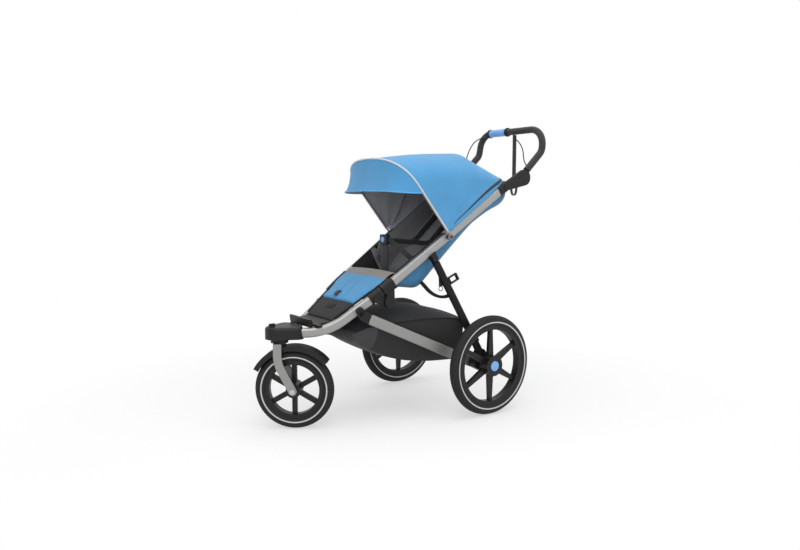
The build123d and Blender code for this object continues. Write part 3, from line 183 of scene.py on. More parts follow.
def curve_through(points, count):
    """Smooth curve through points by chord length, sampled at even steps."""
    points = np.asarray(points, float)
    steps = np.linalg.norm(np.diff(points, axis=0), axis=1)
    knots = np.concatenate([[0.0], np.cumsum(steps)])
    fine = through(knots, points, np.linspace(0, knots[-1], count * 6))
    run = np.concatenate([[0.0], np.cumsum(np.linalg.norm(np.diff(fine, axis=0), axis=1))])
    even = np.linspace(0, run[-1], count)
    return np.stack([np.interp(even, run, fine[:, k]) for k in range(points.shape[1])], axis=1)


def lengths(points, axis):
    """Running length of a grid of points along one axis, in metres, averaged over the other."""
    steps = np.linalg.norm(np.diff(points, axis=axis), axis=2).mean(axis=1 - axis)
    return np.concatenate([[0.0], np.cumsum(steps)]) * MM


def grid_piece(name, points, finishes, wrap=(False, False), flip=False, caps=False):
    """Mesh on a grid of points: one quad between each four neighbours, wrapped round where told.

    The map holds the running length along the rows and columns in metres, so that a weave keeps its size.
    """
    rows, cols = points.shape[:2]
    r, c = np.meshgrid(np.arange(rows - (not wrap[0])), np.arange(cols - (not wrap[1])), indexing="ij")
    r2, c2 = r + 1, c + 1
    corners = [(r, c), (r2, c), (r2, c2), (r, c2)]
    if flip:
        corners.reverse()
    quads = np.stack([(a % rows) * cols + (b % cols) for a, b in corners], axis=-1).reshape(-1, 4)
    mesh = bpy.data.meshes.new(name)
    faces = quads.tolist()
    if caps:
        first = list(range(cols))
        last = [(rows - 1) * cols + k for k in range(cols)]
        faces.append(first if not flip else first[::-1])
        faces.append(last[::-1] if not flip else last)
    mesh.from_pydata(to_frame(points.reshape(-1, 3)).tolist(), [], faces)
    closed = np.concatenate([points, points[:1]], 0) if wrap[0] else points
    closed = np.concatenate([closed, closed[:, :1]], 1) if wrap[1] else closed
    u, v = lengths(closed, 0), lengths(closed, 1)
    table = np.stack([np.stack([u[a], v[b]], -1) for a, b in corners], axis=-2).reshape(-1, 2)
    layer = mesh.uv_layers.new(name="run")
    flat = np.zeros((len(mesh.loops), 2), np.float32)
    flat[: len(table)] = table
    layer.data.foreach_set("uv", flat.ravel())
    return finish_mesh(name, mesh, finishes)


def finish_mesh(name, mesh, finishes):
    """Object from a mesh, smooth shaded, with its finishes."""
    mesh.validate()
    mesh.polygons.foreach_set("use_smooth", np.ones(len(mesh.polygons), bool))
    for finish in finishes if isinstance(finishes, (list, tuple)) else [finishes]:
        mesh.materials.append(finish)
    mesh.update()
    piece = bpy.data.objects.new(name, mesh)
    bpy.context.scene.collection.objects.link(piece)
    return piece


def dress(piece, body, stands_for=None):
    """The body that a piece rides on; it may stand for one of the frame's nodes, which is then hidden."""
    if stands_for:
        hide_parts(stands_for)
    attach(piece, body)


def thicken(piece, thickness, lining=0):
    """Sheet given its thickness inwards, with the inner face in another of its finishes."""
    wall = piece.modifiers.new("wall", "SOLIDIFY")
    wall.thickness = thickness
    wall.offset = -1.0
    wall.use_even_offset = False
    wall.material_offset = lining


def carry(path, profile, side):
    """Profile carried along a path: its first coordinate goes along side, its second along side x tangent."""
    path = np.asarray(path, float)
    tangent = unit(np.gradient(path, axis=0))
    side = np.broadcast_to(np.asarray(side, float), path.shape)
    side = unit(side - tangent * np.sum(side * tangent, axis=1, keepdims=True))
    out = np.cross(side, tangent)
    profile = np.asarray(profile, float)
    if profile.ndim == 2:
        profile = np.broadcast_to(profile, (len(path),) + profile.shape)
    return path[:, None] + profile[:, :, :1] * side[:, None] + profile[:, :, 1:] * out[:, None]


def whole_turn(count):
    """Even angles once round."""
    return np.linspace(0, 2 * math.pi, count, endpoint=False)


def oval(width, height, power, count):
    """Superellipse outline: |x/a|^p + |y/b|^p = 1."""
    turn = whole_turn(count)
    c, s = np.cos(turn), np.sin(turn)
    x = np.sign(c) * np.abs(c) ** (2 / power) * width / 2
    y = np.sign(s) * np.abs(s) ** (2 / power) * height / 2
    return np.stack([x, y], axis=1)


def bar_piece(name, path, profile, side, finishes):
    """Closed bar: a profile carried along a path, with both ends capped."""
    return grid_piece(name, carry(path, profile, side), finishes, wrap=(False, True), caps=True)


def ring_piece(name, loop, profile, side, finish):
    """Closed ring: a profile carried once round a loop of points."""
    grid = carry(np.concatenate([loop, loop[:1]]), profile, side)[:-1]
    return grid_piece(name, grid, finish, wrap=(True, True))


def round_bar(name, path, radius, finish):
    """Round bar along a path, with its ends capped."""
    return bar_piece(name, path, oval(2 * radius, 2 * radius, power=2.0, count=10), (0, 1, 0), finish)


def refinish(piece, faces, place):
    """Another of the piece's finishes, by its place in the list, on the chosen faces."""
    piece.data.polygons.foreach_set("material_index", np.where(faces, place, 0).astype(np.int32))


def mirrored(points):
    """The same grid on the other side of the stroller, kept facing outwards by reversing its columns."""
    return (points * np.array([1.0, -1.0, 1.0]))[:, ::-1]


class Wire:
    """A shader socket that takes part in Python arithmetic; each operation adds a Math node."""

    def __init__(self, shop, socket):
        self.shop = shop
        self.socket = socket

    def _math(self, operation, first, second):
        return self.shop.node("ShaderNodeMath", {"operation": operation}, {0: first, 1: second})

    def __add__(self, other):
        return self._math("ADD", self, other)

    __radd__ = __add__

    def __mul__(self, other):
        return self._math("MULTIPLY", self, other)

    __rmul__ = __mul__

    def __sub__(self, other):
        return self._math("SUBTRACT", self, other)

    def __rsub__(self, other):
        return self._math("SUBTRACT", other, self)

    def __pow__(self, other):
        return self._math("POWER", self, other)

    def sine(self):
        """Sine of the value."""
        return self._math("SINE", self, 0.0)

    def largest(self, other):
        """The larger of two values."""
        return self._math("MAXIMUM", self, other)

    def apart(self):
        """Distance from zero."""
        return self._math("ABSOLUTE", self, 0.0)


class Bench:
    """A node tree in the making, with the one way to add a node to it."""

    def __init__(self, tree):
        self.tree = tree

    def node(self, kind, settings=None, sockets=None, output=0):
        """Any node: its settings first, then its sockets' values or links; gives one output."""
        made = self.tree.nodes.new(kind)
        for key, value in (settings or {}).items():
            setattr(made, key, value)
        for key, value in (sockets or {}).items():
            if isinstance(value, Wire):
                self.tree.links.new(value.socket, made.inputs[key])
            else:
                made.inputs[key].default_value = value
        return Wire(self, made.outputs[output])

    def seen(self):
        """1 where a camera, glossy or transmission ray sees the surface, 0 where it only gives light."""
        kinds = ("Is Camera Ray", "Is Glossy Ray", "Is Transmission Ray")
        first, second, third = [self.node("ShaderNodeLightPath", output=kind) for kind in kinds]
        return first.largest(second).largest(third)

    def close(self, output, first, second, share):
        """Two shaders mixed by a share and linked to the tree's output."""
        whole = self.node("ShaderNodeMixShader", None, {0: share, 1: first, 2: second})
        self.tree.links.new(whole.socket, self.tree.nodes[output].inputs["Surface"])


class Finish(Bench):
    """A material in the making: one principled shader and the nodes that feed it."""

    def __init__(self, name, **constants):
        self.material = bpy.data.materials.new(name)
        self.material.use_nodes = True
        super().__init__(self.material.node_tree)
        self.shader = self.tree.nodes["Principled BSDF"]
        for socket, value in constants.items():
            self.shader.inputs[socket.replace("_", " ")].default_value = value

    def feed(self, socket, wire):
        """Link a wire to the principled shader."""
        self.tree.links.new(wire.socket, self.shader.inputs[socket])

    def place(self):
        """Object coordinates."""
        return self.node("ShaderNodeTexCoord", output="Object")

    def split(self, vector):
        """A vector's three values."""
        first = self.node("ShaderNodeSeparateXYZ", None, {0: vector})
        return [Wire(self, socket) for socket in first.socket.node.outputs]

    def run(self):
        """The piece's own map, in metres along its rows and columns, as two values."""
        return self.split(self.node("ShaderNodeUVMap", {"uv_map": "run"}))[:2]

    def axes(self):
        """Object coordinates as three values."""
        return self.split(self.place())

    def noise(self, scale, detail=2.0, roughness=0.5, vector=None):
        """Noise from 0 to 1 on Object coordinates."""
        sockets = {"Vector": vector or self.place(), "Scale": scale, "Detail": detail, "Roughness": roughness}
        return self.node("ShaderNodeTexNoise", None, sockets)

    def mix(self, factor, first, second):
        """Colour between two colours."""
        sockets = {0: factor, 6: (*first, 1.0) if not isinstance(first, Wire) else first,
                   7: (*second, 1.0) if not isinstance(second, Wire) else second}
        return self.node("ShaderNodeMix", {"data_type": "RGBA"}, sockets, output=2)

    def bump(self, height, distance, strength=1.0):
        """Bump from a height, fed to the shader's normal."""
        sockets = {"Height": height, "Distance": distance, "Strength": strength}
        self.feed("Normal", self.node("ShaderNodeBump", None, sockets))


def shade(colour, amount):
    """Colour scaled by an amount, held below white."""
    return tuple(min(c * amount, 1.0) for c in colour)


def cloth_finish(name, colour, pitch=0.0011, contrast=0.24, mapped=True, rough=0.82, crease=0.0, sheen=0.2):
    """Woven cloth: threads over and under each other, sin(ku) x sin(kv), with slow uneven dye and creases."""
    made = Finish(name, Sheen_Weight=sheen, Sheen_Roughness=0.5, Specular_IOR_Level=0.25)
    k = 2 * math.pi / pitch
    if mapped:
        u, v = made.run()
    else:
        x, y, z = made.axes()
        u, v = x + z * 0.7, y + z * 0.3
    weave = (u * k).sine() * (v * k).sine() * 0.5 + 0.5
    slub = made.noise(260.0, 2.0)
    dye = made.noise(9.0, 3.0)
    tone = weave * contrast + slub * 0.3 + dye * 0.4
    made.feed("Base Color", made.mix(tone, shade(colour, 0.72), shade(colour, 1.25)))
    made.feed("Roughness", weave * -0.08 + dye * 0.12 + (rough - 0.04))
    height = weave * 0.25 + slub * 0.2
    if crease:
        height = height + made.noise(26.0, 3.0) * crease
    made.bump(height, 0.0006, 0.7)
    return made.material


def mesh_finish(name, colour):
    """Open spacer mesh: rows of round holes, each row shifted by half a hole."""
    made = Finish(name, Sheen_Weight=0.15, Specular_IOR_Level=0.3)
    u, v = made.run()
    k = 2 * math.pi / 0.005
    holes = ((u * k).sine() * (v * k * 0.8).sine()).apart()
    made.feed("Base Color", made.mix(holes, shade(colour, 2.6), shade(colour, 0.5)))
    made.feed("Roughness", holes * 0.2 + 0.65)
    made.bump(holes, 0.0012, -0.8)
    return made.material


def webbing_finish(name, colour):
    """Ribbed nylon webbing: fine ribs across and a herringbone along."""
    made = Finish(name, Sheen_Weight=0.2)
    u, v = made.run()
    k = 2 * math.pi / 0.0016
    ribs = ((u * k + (v * k * 0.5).sine() * 1.2).sine()) * 0.5 + 0.5
    wear = made.noise(60.0, 3.0)
    made.feed("Base Color", made.mix(ribs * 0.5 + wear * 0.4, shade(colour, 0.7), shade(colour, 2.0)))
    made.feed("Roughness", ribs * 0.15 + 0.55)
    made.bump(ribs, 0.0004, 0.8)
    return made.material


def moulded_finish(name, colour, rough=0.48, grain=900.0, gloss=0.29):
    """Moulded plastic: fine spark grain and faint handling marks."""
    made = Finish(name, Specular_IOR_Level=gloss)
    fine = made.noise(grain, 2.0)
    marks = made.noise(22.0, 4.0)
    made.feed("Base Color", made.mix(marks * 0.6 + fine * 0.3, shade(colour, 0.8), shade(colour, 1.5)))
    made.feed("Roughness", marks * 0.14 + fine * 0.06 + (rough - 0.1))
    made.bump(fine, 0.00025, 0.5)
    return made.material


def tube_finish(name, colour, rough=0.34):
    """Satin anodised aluminium: fine drawn lines, faint patches and soft reflections."""
    made = Finish(name, Metallic=1.0)
    drawn = made.noise(420.0, 3.0)
    patch = made.noise(14.0, 3.0)
    made.feed("Base Color", made.mix(drawn * 0.35 + patch * 0.5, shade(colour, 0.86), shade(colour, 1.12)))
    made.feed("Roughness", drawn * 0.1 + patch * 0.08 + (rough - 0.06))
    made.bump(drawn, 0.0001, 0.35)
    return made.material


def foam_finish(name, colour):
    """Closed-cell foam: small pits between soft cell walls."""
    made = Finish(name, Sheen_Weight=0.15)
    cells = made.node("ShaderNodeTexVoronoi", {"feature": "F1"}, {"Vector": made.place(), "Scale": 420.0})
    wear = made.noise(30.0, 3.0)
    made.feed("Base Color", made.mix(cells * 0.5 + wear * 0.4, shade(colour, 1.5), shade(colour, 0.8)))
    made.feed("Roughness", cells * 0.2 + 0.62)
    made.bump(cells, 0.0005, -0.6)
    return made.material


def tyre_finish(name, ring):
    """Tyre rubber with dusty grooves and a pale reflective ring on each wall, placed by the section angle."""
    made = Finish(name, Specular_IOR_Level=0.28)
    tread = made.node("ShaderNodeAttribute", {"attribute_name": "tread"}, output="Fac")
    band = made.node("ShaderNodeAttribute", {"attribute_name": "ring"}, output="Fac")
    dust = made.noise(40.0, 4.0)
    fine = made.noise(700.0, 2.0)
    rubber = made.mix(dust * 0.6 + tread * 0.3, (0.008, 0.008, 0.0085), (0.022, 0.022, 0.022))
    made.feed("Base Color", made.mix(band, rubber, ring))
    made.feed("Roughness", dust * 0.15 + fine * 0.1 + 0.55)
    made.bump(fine, 0.0003, 0.5)
    return made.material


def make_finishes():
    """Every finish of the stroller by name."""
    c = colours()
    return {
        "tube": tube_finish("satin_tube", c.silver, 0.48),
        # Fork blades and stays: the tube silver darkened to 0.8, which is painted shade, not a darker metal.
        "tube_painted_shade": tube_finish("satin_tube_painted_shade", shade(c.silver, 0.8), 0.5),
        "steel": tube_finish("plated_steel", (0.5, 0.5, 0.5), 0.3),
        "leg": moulded_finish("black_coated_tube", shade(c.black, 0.9), 0.42, 1400.0, 0.16),
        "black": moulded_finish("black_moulding", c.black),
        "rim": moulded_finish("black_wheel_moulding", shade(c.black, 1.1), 0.42, 1100.0),
        "accent": moulded_finish("blue_moulding", c.accent_blue, 0.36, 1200.0),
        "foam": foam_finish("foam_grip", shade(c.black, 1.3)),
        "cable": moulded_finish("cable_sheath", c.black, 0.4, 1500.0),
        "canopy": cloth_finish("canopy_cloth", c.canopy_blue, 0.0011, 0.3, crease=0.5),
        "lining": cloth_finish("lining_cloth", c.lining_grey, 0.0014, crease=0.6),
        "lining_light": cloth_finish("lining_hem_cloth", shade(c.lining_grey, 1.1), 0.0014),
        "sleeve": cloth_finish("bow_sleeve_cloth", shade(c.lining_grey, 0.47), 0.0014, mapped=False),
        "band": cloth_finish("band_cloth", c.band_grey, 0.0014, 0.3),
        "band_blue": cloth_finish("band_blue_cloth", c.canopy_blue, 0.0011, 0.3),
        "blue_pad": cloth_finish("blue_pad_cloth", c.canopy_blue, 0.0011, 0.3, mapped=False),
        "seat": cloth_finish("seat_cloth", c.seat_grey, 0.0016, 0.4, mapped=False),
        "crotch": cloth_finish("crotch_cloth", shade(c.seat_grey, 0.2), 0.0016, 0.4, mapped=False, sheen=0.1),
        "seat_sheet": cloth_finish("seat_sheet_cloth", c.seat_grey, 0.0016, 0.4),
        "dark": cloth_finish("basket_cloth", c.basket_grey, 0.0018, 0.4, crease=0.4, sheen=0.06),
        # Basket front: the basket grey lightened 2.2 times, a painted highlight on the faces turned to the
        # light, not another cloth.
        "dark_painted_light": cloth_finish("basket_front_cloth_painted_light", shade(c.basket_grey, 2.2), 0.0018, 0.4, sheen=0.06),
        "strap_pad": cloth_finish("strap_pad_cloth", shade(c.black, 1.4), 0.0014, 0.4, mapped=False,
                                  sheen=0.06),
        "mesh": mesh_finish("side_mesh", c.black),
        "webbing": webbing_finish("nylon_webbing", c.black),
        "piping": cloth_finish("silver_piping", (0.60, 0.61, 0.63), 0.0012, 0.3, rough=0.5),
        # Visor hem: canopy blue lightened 1.3 times, a painted highlight on its upturned edge, not a paler
        # cloth.
        "hem": cloth_finish("hem_cloth_painted_highlight", shade(c.canopy_blue, 1.3), 0.0011, 0.3),
        "shell": cloth_finish("shell_cloth", shade(c.canopy_blue, 0.62), 0.0013, 0.3),
        "ribbed": cloth_finish("ribbed_cloth", c.basket_grey, 0.0022, 0.5, mapped=False, sheen=0.06),
        "zip": webbing_finish("zip_tape", shade(c.black, 0.7)),
        "piping_black": cloth_finish("black_piping", shade(c.black, 1.3), 0.0012, 0.3, sheen=0.06),
        "tyre": tyre_finish("tyre_rubber", (0.86, 0.87, 0.86)),
    }


FINISH = {}
CAD_FINISH = {
    "tube": ("upper_tube_left", "upper_tube_right", "lower_tube_left", "lower_tube_right",
             "knuckle_cross_tube", "rear_axle", "recline_rod"),
    # Fork blades and stays take the silver with painted shade.
    "tube_painted_shade": ("fork_blade_left", "fork_blade_right", "stay_left", "stay_right"),
    "steel": ("front_axle",),
    "sleeve": ("front_bow",),
    "leg": ("rear_leg_left", "rear_leg_right", "handle_tube"),
    "black": ("upper_knuckles", "lower_knuckles", "leg_brackets", "axle_housings", "stay_caps", "stay_lugs",
              "handle_bracket_left", "handle_bracket_right", "brake_pedal", "carry_loop", "yoke", "lock_knob",
              "footrest", "fork_crown", "fender", "buckle", "canopy_studs", "hinge_pins"),
    "rim": ("rear_rim_left", "rear_rim_right", "front_rim"),
    "accent": ("hub_button_left", "hub_button_right", "buckle_button", "twist_sleeve"),
    "foam": ("grip_left", "grip_right"),
    "cable": ("brake_cable_left", "brake_cable_right"),
}


class STROLLER_OT_finishes(bpy.types.Operator):
    """Make the finishes and give them to the frame's own pieces"""

    bl_idname = "stroller.finishes"
    bl_label = "Finishes"

    def execute(self, context):
        FINISH.update(make_finishes())
        for finish, nodes in CAD_FINISH.items():
            for node in nodes:
                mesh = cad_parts[node].data
                mesh.materials.clear()
                mesh.materials.append(FINISH[finish])
        return {"FINISHED"}


SWIVEL = math.radians(-38)
REAR_RADIUS = 199.8
FRONT_RADIUS = 149.8
TYRE_SECTION = 22.4
REAR_BLOCKS = 54
FRONT_BLOCKS = 40
GROOVE_LEAN = 0.42
GROOVE_SPREAD = 0.045
BAR_SHARE = 0.45
TREAD_EDGE = 0.75
TREAD_FADE = 0.4
RING_LEAN = 1.72
RING_SPREAD = 0.066


def tyre_grid(radius, blocks, depth):
    """Tyre round its own axle: a circle of the section turned about Y, with blocks raised on the tread.

    The section angle a is 0 at the tread's middle. The tread is cut by grooves where sin(b t + c a) is small,
    and by two rings at a = +-0.42, fading out by a = 1.15.
    """
    turn = whole_turn(720)[:, None]
    lean = np.linspace(-math.pi, math.pi, 60, endpoint=False)[None, :]
    zig = np.abs(lean) * 2.2
    wave = np.sin(blocks * turn + np.sign(lean) * zig * 3 + zig)
    bars = 1 - ease(np.abs(wave) / BAR_SHARE)
    rings = np.exp(-((np.abs(lean) - GROOVE_LEAN) / GROOVE_SPREAD) ** 2)
    reach = 1 - ease((np.abs(lean) - TREAD_EDGE) / TREAD_FADE)
    cut = np.clip(np.maximum(bars * (np.abs(lean) > GROOVE_LEAN), rings), 0, 1) * reach
    r = TYRE_SECTION - depth * cut
    ring = np.exp(-((np.abs(lean) - RING_LEAN) / RING_SPREAD) ** 4) + 0 * turn
    away = radius - TYRE_SECTION + r * np.cos(lean)
    points = np.stack([away * np.sin(turn), r * np.sin(lean) + 0 * turn, away * np.cos(turn)], axis=-1)
    return points, cut + 0 * turn, ring


def tyre_piece(name, node, axle, radius, blocks):
    """Tyre moved to the place of a frame piece: its own Y axis turned to the wheel's axle."""
    points, cut, ring = tyre_grid(radius, blocks, sizes().tread_depth / MM)
    axle = unit(axle)
    ahead = unit(np.cross(axle, (0.0, 0.0, 1.0)))
    up = np.cross(ahead, axle)
    moved = points[..., :1] * ahead + points[..., 1:2] * axle + points[..., 2:] * up + node_middle(node)
    piece = grid_piece(name, moved, FINISH["tyre"], wrap=(True, True))
    for key, values in (("tread", cut), ("ring", ring)):
        layer = piece.data.attributes.new(key, "FLOAT", "POINT")
        layer.data.foreach_set("value", np.ascontiguousarray(values, np.float32).ravel())
    return piece


class STROLLER_OT_tyres(bpy.types.Operator):
    """Tyres with a cut tread and a reflective ring"""

    bl_idname = "stroller.tyres"
    bl_label = "Tyres"

    def execute(self, context):
        for side in ("left", "right"):
            node = "rear_tyre_" + side
            piece = tyre_piece("rear_tread_" + side, node, (0, 1, 0), REAR_RADIUS, REAR_BLOCKS)
            dress(piece, "rear_wheel_" + side, node)
        axle = (-math.sin(SWIVEL), math.cos(SWIVEL), 0)
        piece = tyre_piece("front_tread", "front_tyre", axle, FRONT_RADIUS, FRONT_BLOCKS)
        dress(piece, "front_wheel", "front_tyre")
        return {"FINISHED"}


# Each point's place across, reach from the handlebar's hinge line and angle about it in degrees.
CABLE_ROUTES = {
    "left": ((18, 239, 123.4), (34, 221, 124), (72, 200, 126), (108, 166, 129), (132, 128, 132),
             (153, 98, 135), (185.8, 73.6, 136.9)),
    "right": ((-150, 238, 122), (-166, 220, 117), (-182, 190, 112), (-191, 150, 110), (-197, 112, 111),
              (-201, 72, 112), (-203, 32.4, 113)),
}
CABLE_DIAMETER = 0.005
HANDLE_PIVOT = (-268.0, 951.0)


class STROLLER_OT_cables(bpy.types.Operator):
    """Brake cables in their sheaths between the handlebar and its brackets"""

    bl_idname = "stroller.cables"
    bl_label = "Brake cables"

    def execute(self, context):
        for side, route in CABLE_ROUTES.items():
            across, reach, lean = np.array(route, float).T
            lean = np.radians(lean)
            points = to_frame(np.stack([HANDLE_PIVOT[0] + reach * np.cos(lean), across,
                                        HANDLE_PIVOT[1] + reach * np.sin(lean)], axis=1))
            data = bpy.data.curves.new("brake_line_" + side, "CURVE")
            data.dimensions = "3D"
            line = data.splines.new("NURBS")
            line.points.add(len(points) - 1)
            line.points.foreach_set("co", np.concatenate([points, np.ones((len(points), 1))], axis=1).ravel())
            line.order_u = 3
            line.use_endpoint_u = True
            line.resolution_u = 16
            data.bevel_depth = CABLE_DIAMETER / 2
            data.bevel_resolution = 5
            data.use_fill_caps = True
            data.materials.append(FINISH["cable"])
            piece = bpy.data.objects.new("brake_line_" + side, data)
            context.scene.collection.objects.link(piece)
            dress(piece, "handlebar", "brake_cable_" + side)
        return {"FINISHED"}


PIVOT = (119.0, 711.0)
FRONT_ANGLE = 51
RIDGE_ANGLE = 115
REAR_ANGLE = 140.5
CROWN_ANGLE = 83
NAPE_ANGLE = 129
CANOPY_HALF = 220.6
RIDGE_HALF = 206.6
LEG_SHARE = 0.34
FOLD_HEIGHT = 1.6
HEM_ROWS = 22
HEM_TAPER = 0.35
HEM_COLUMNS = 40


def arch(angle, half, base, shoulder, apex, count=97, power=2.5):
    """Arch in the fan plane at an angle: straight legs, then a superellipse from the shoulders over the top.

    The parameter runs from the left foot (-1) over the crown (0) to the right foot (1).
    """
    steps = np.linspace(-1, 1, count)
    rise = np.clip((np.abs(steps) - (1 - LEG_SHARE)) / LEG_SHARE, 0, 1)
    over = np.clip(np.abs(steps) / (1 - LEG_SHARE), 0, 1) * math.pi / 2
    across = half * np.sin(over) ** (2 / power) * -np.sign(steps)
    reach = shoulder + (apex - shoulder) * np.cos(over) ** (2 / power)
    reach = np.where(rise > 0, shoulder + (base - shoulder) * rise, reach)
    across = np.where(rise > 0, -np.sign(steps) * half, across)
    turn = math.radians(angle)
    return np.stack([PIVOT[0] + reach * math.cos(turn), across, PIVOT[1] + reach * math.sin(turn)], axis=1)


def canopy_grid():
    """Canopy cloth: a smooth surface through arches at the front bow, the ridge bow and the rear hem.

    It is creased over the ridge bow, and folds of sin(16 t + 6 |s|) push out near its feet.
    """
    first = arch(FRONT_ANGLE, CANOPY_HALF, base=27, shoulder=250, apex=397)
    crown = arch(CROWN_ANGLE, CANOPY_HALF, base=27, shoulder=222, apex=335, power=2.1)
    ridge = arch(RIDGE_ANGLE, CANOPY_HALF, base=42, shoulder=240, apex=379, power=1.9)
    nape = arch(NAPE_ANGLE, CANOPY_HALF, base=76, shoulder=285, apex=378, power=2.1)
    last = arch(REAR_ANGLE, CANOPY_HALF, base=243, shoulder=335, apex=390)
    ahead = np.linspace(FRONT_ANGLE, RIDGE_ANGLE, 80)
    behind = np.linspace(RIDGE_ANGLE, REAR_ANGLE, 41)[1:]
    surface = np.concatenate([through((FRONT_ANGLE, CROWN_ANGLE, RIDGE_ANGLE), (first, crown, ridge), ahead),
                              through((RIDGE_ANGLE, NAPE_ANGLE, REAR_ANGLE), (ridge, nape, last), behind)])
    places = np.concatenate([ahead, behind])
    t = (places[:, None] - FRONT_ANGLE) / (REAR_ANGLE - FRONT_ANGLE)
    s = np.linspace(-1, 1, surface.shape[1])[None, :]
    low = ease((np.abs(s) - 0.45) / 0.4)
    fold = np.sin(t * 16 + np.abs(s) * 6) * low * ease(t * 5) * ease((1 - t) * 5) * FOLD_HEIGHT
    surface[..., 1] -= np.sign(s) * fold
    return surface


VISOR_EDGE = ((259, CANOPY_HALF, 884), (300, 218, 884), (345, 203, 886), (378, 165, 890), (390, 100, 892),
              (393, 0, 893))
VISOR_MIDDLE = (200, 0, 880)
VISOR_HOLLOW = 9
VISOR_GAP = 130


def visor_grid():
    """Visor: from its level lower edge up to the front bow, hollow between them like a stretched brim.

    Rows run from the edge (0) to the bow (1), and a point is pulled in by 9 sin(pi t^0.7) where they are 130
    apart.
    """
    left = np.array(VISOR_EDGE, float)
    edge = curve_through(np.concatenate([left, (left * (1, -1, 1))[-2::-1]]), 97)
    bow = curve_through(arch(FRONT_ANGLE, CANOPY_HALF, base=222, shoulder=250, apex=397, count=193), 97)
    t = np.linspace(0, 1, 26)[:, None, None]
    grid = edge * (1 - t) + bow * t
    chord = np.linalg.norm(bow - edge, axis=1)[None, :, None] / VISOR_GAP
    along = np.gradient(edge, axis=0)
    out = unit(np.cross(bow - edge, along))
    out = out * np.sign(np.sum(out * (edge - np.array(VISOR_MIDDLE)), axis=1, keepdims=True))
    return grid - VISOR_HOLLOW * np.sin(math.pi * t ** 0.7) * chord * out


def row_value(knots, values, places):
    """Straight-line value at one place in each row of a table, where each row's knots rise."""
    index = np.clip((knots < places[:, None]).sum(axis=1), 1, knots.shape[1] - 1)
    row = np.arange(len(places))
    low, high = knots[row, index - 1], knots[row, index]
    share = np.clip((places - low) / np.maximum(high - low, 1e-9), 0, 1)
    return values[row, index - 1] * (1 - share) + values[row, index] * share


def on_canopy(x, z, lift):
    """Points on the canopy's left flank at places in the side view, lifted outwards.

    A place's angle about the pivot picks two rows of the cloth, and its reach picks the width on each.
    """
    surface = canopy_grid()[:, :49]
    angle = np.degrees(np.arctan2(surface[..., 2] - PIVOT[1], surface[..., 0] - PIVOT[0])).mean(axis=1)
    reach = np.hypot(surface[..., 0] - PIVOT[0], surface[..., 2] - PIVOT[1])
    want = np.degrees(np.arctan2(z - PIVOT[1], x - PIVOT[0]))
    far = np.hypot(x - PIVOT[0], z - PIVOT[1])
    row = np.clip(np.searchsorted(angle, want), 1, len(angle) - 1)
    share = (want - angle[row - 1]) / (angle[row] - angle[row - 1])
    flank = [row_value(reach[r], surface[r, :, 1], far) for r in (row - 1, row)]
    return np.stack([x, flank[0] * (1 - share) + flank[1] * share + lift, z], axis=1)


def canopy_blend(piece):
    """Cloth with its transform baked into its mesh."""
    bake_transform(piece)


ZIP_LINE = ((109, 764), (27, 825), (-68, 894), (-166, 953))
ZIP_HALF = 1.4
ZIP_WIDENING = 5.0


class STROLLER_OT_canopy(bpy.types.Operator):
    """Canopy cloth, visor, piping and side zips"""

    bl_idname = "stroller.canopy"
    bl_label = "Canopy"

    def execute(self, context):
        cloth = sizes().cloth_thickness
        piping = sizes().piping_radius / MM
        surface = canopy_grid()
        cover = grid_piece("canopy_sheet", surface, [FINISH["canopy"], FINISH["lining"], FINISH["canopy"],
                                                     FINISH["lining_light"]])
        row, col = np.divmod(np.arange(len(cover.data.polygons)), surface.shape[1] - 1)
        foot = np.minimum(col, surface.shape[1] - 2 - col)
        hemmed = (row < HEM_ROWS - foot * HEM_TAPER) & (foot < HEM_COLUMNS)
        refinish(cover, hemmed, 2)
        thicken(cover, cloth, 1)
        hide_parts("canopy_cover")
        canopy_blend(cover)
        grid = visor_grid()
        visor = grid_piece("visor_sheet", grid, [FINISH["canopy"], FINISH["lining"]])
        thicken(visor, cloth * 1.5, 1)
        dress(visor, "canopy_front", "visor")
        # The hem bead carries the canopy blue with a painted highlight.
        hem = round_bar("visor_hem", grid[0], piping * 0.8, FINISH["hem"])
        dress(hem, "canopy_front")
        seam_piping = round_bar("bow_piping", surface[0], piping, FINISH["piping"])
        dress(seam_piping, "canopy_front")
        path = arch(RIDGE_ANGLE, RIDGE_HALF, base=30, shoulder=232, apex=367, power=1.9)
        bow = round_bar("ridge_bow", path, radius=3, finish=FINISH["sleeve"])
        dress(bow, "canopy_mid", "mid_bow")
        for side, name in SIDES:
            self.zip_tape("canopy_zip_" + name, side)
        return {"FINISHED"}

    def zip_tape(self, name, side):
        """Black zip tape on the canopy's flank: a low ridge that widens rearwards by a smooth step."""
        line = curve_through(ZIP_LINE, 60)
        t = np.linspace(0, 1, 60)
        half = ZIP_HALF + ZIP_WIDENING * ease(t * 1.1)
        along = unit(np.gradient(line, axis=0))
        across = np.stack([-along[:, 1], along[:, 0]], axis=1)
        rows = []
        for place, lift in ((-1, -0.8), (-0.85, 1.2), (0, 1.8), (0.85, 1.2), (1, -0.8)):
            flat = line + across * half[:, None] * place
            rows.append(on_canopy(flat[:, 0], flat[:, 1], lift))
        points = np.stack(rows, axis=1)
        if side < 0:
            points = mirrored(points)
        tape = grid_piece(name, points, FINISH["zip"], flip=True)
        thicken(tape, 0.0012)
        canopy_blend(tape)


BACK_FOOT = np.array([200.9, 523.9])
BACK_ALONG = np.array([-0.7337, 0.6794])
BACK_FRONT = np.array([0.6794, 0.7337])


def back_point(distance, depth, across):
    """Point by its distance up the backrest, depth in front of the pad's rear face, and place across."""
    distance, depth, across = np.broadcast_arrays(*(np.asarray(v, float) for v in (distance, depth, across)))
    side = BACK_FOOT + BACK_ALONG * distance[..., None] + BACK_FRONT * depth[..., None]
    return np.stack([side[..., 0], across, side[..., 1]], axis=-1)


TUBE_FRONT = (415, 165, 510)
TUBE_REAR = (-172, 213, 915)
TUBE_RADIUS = 12


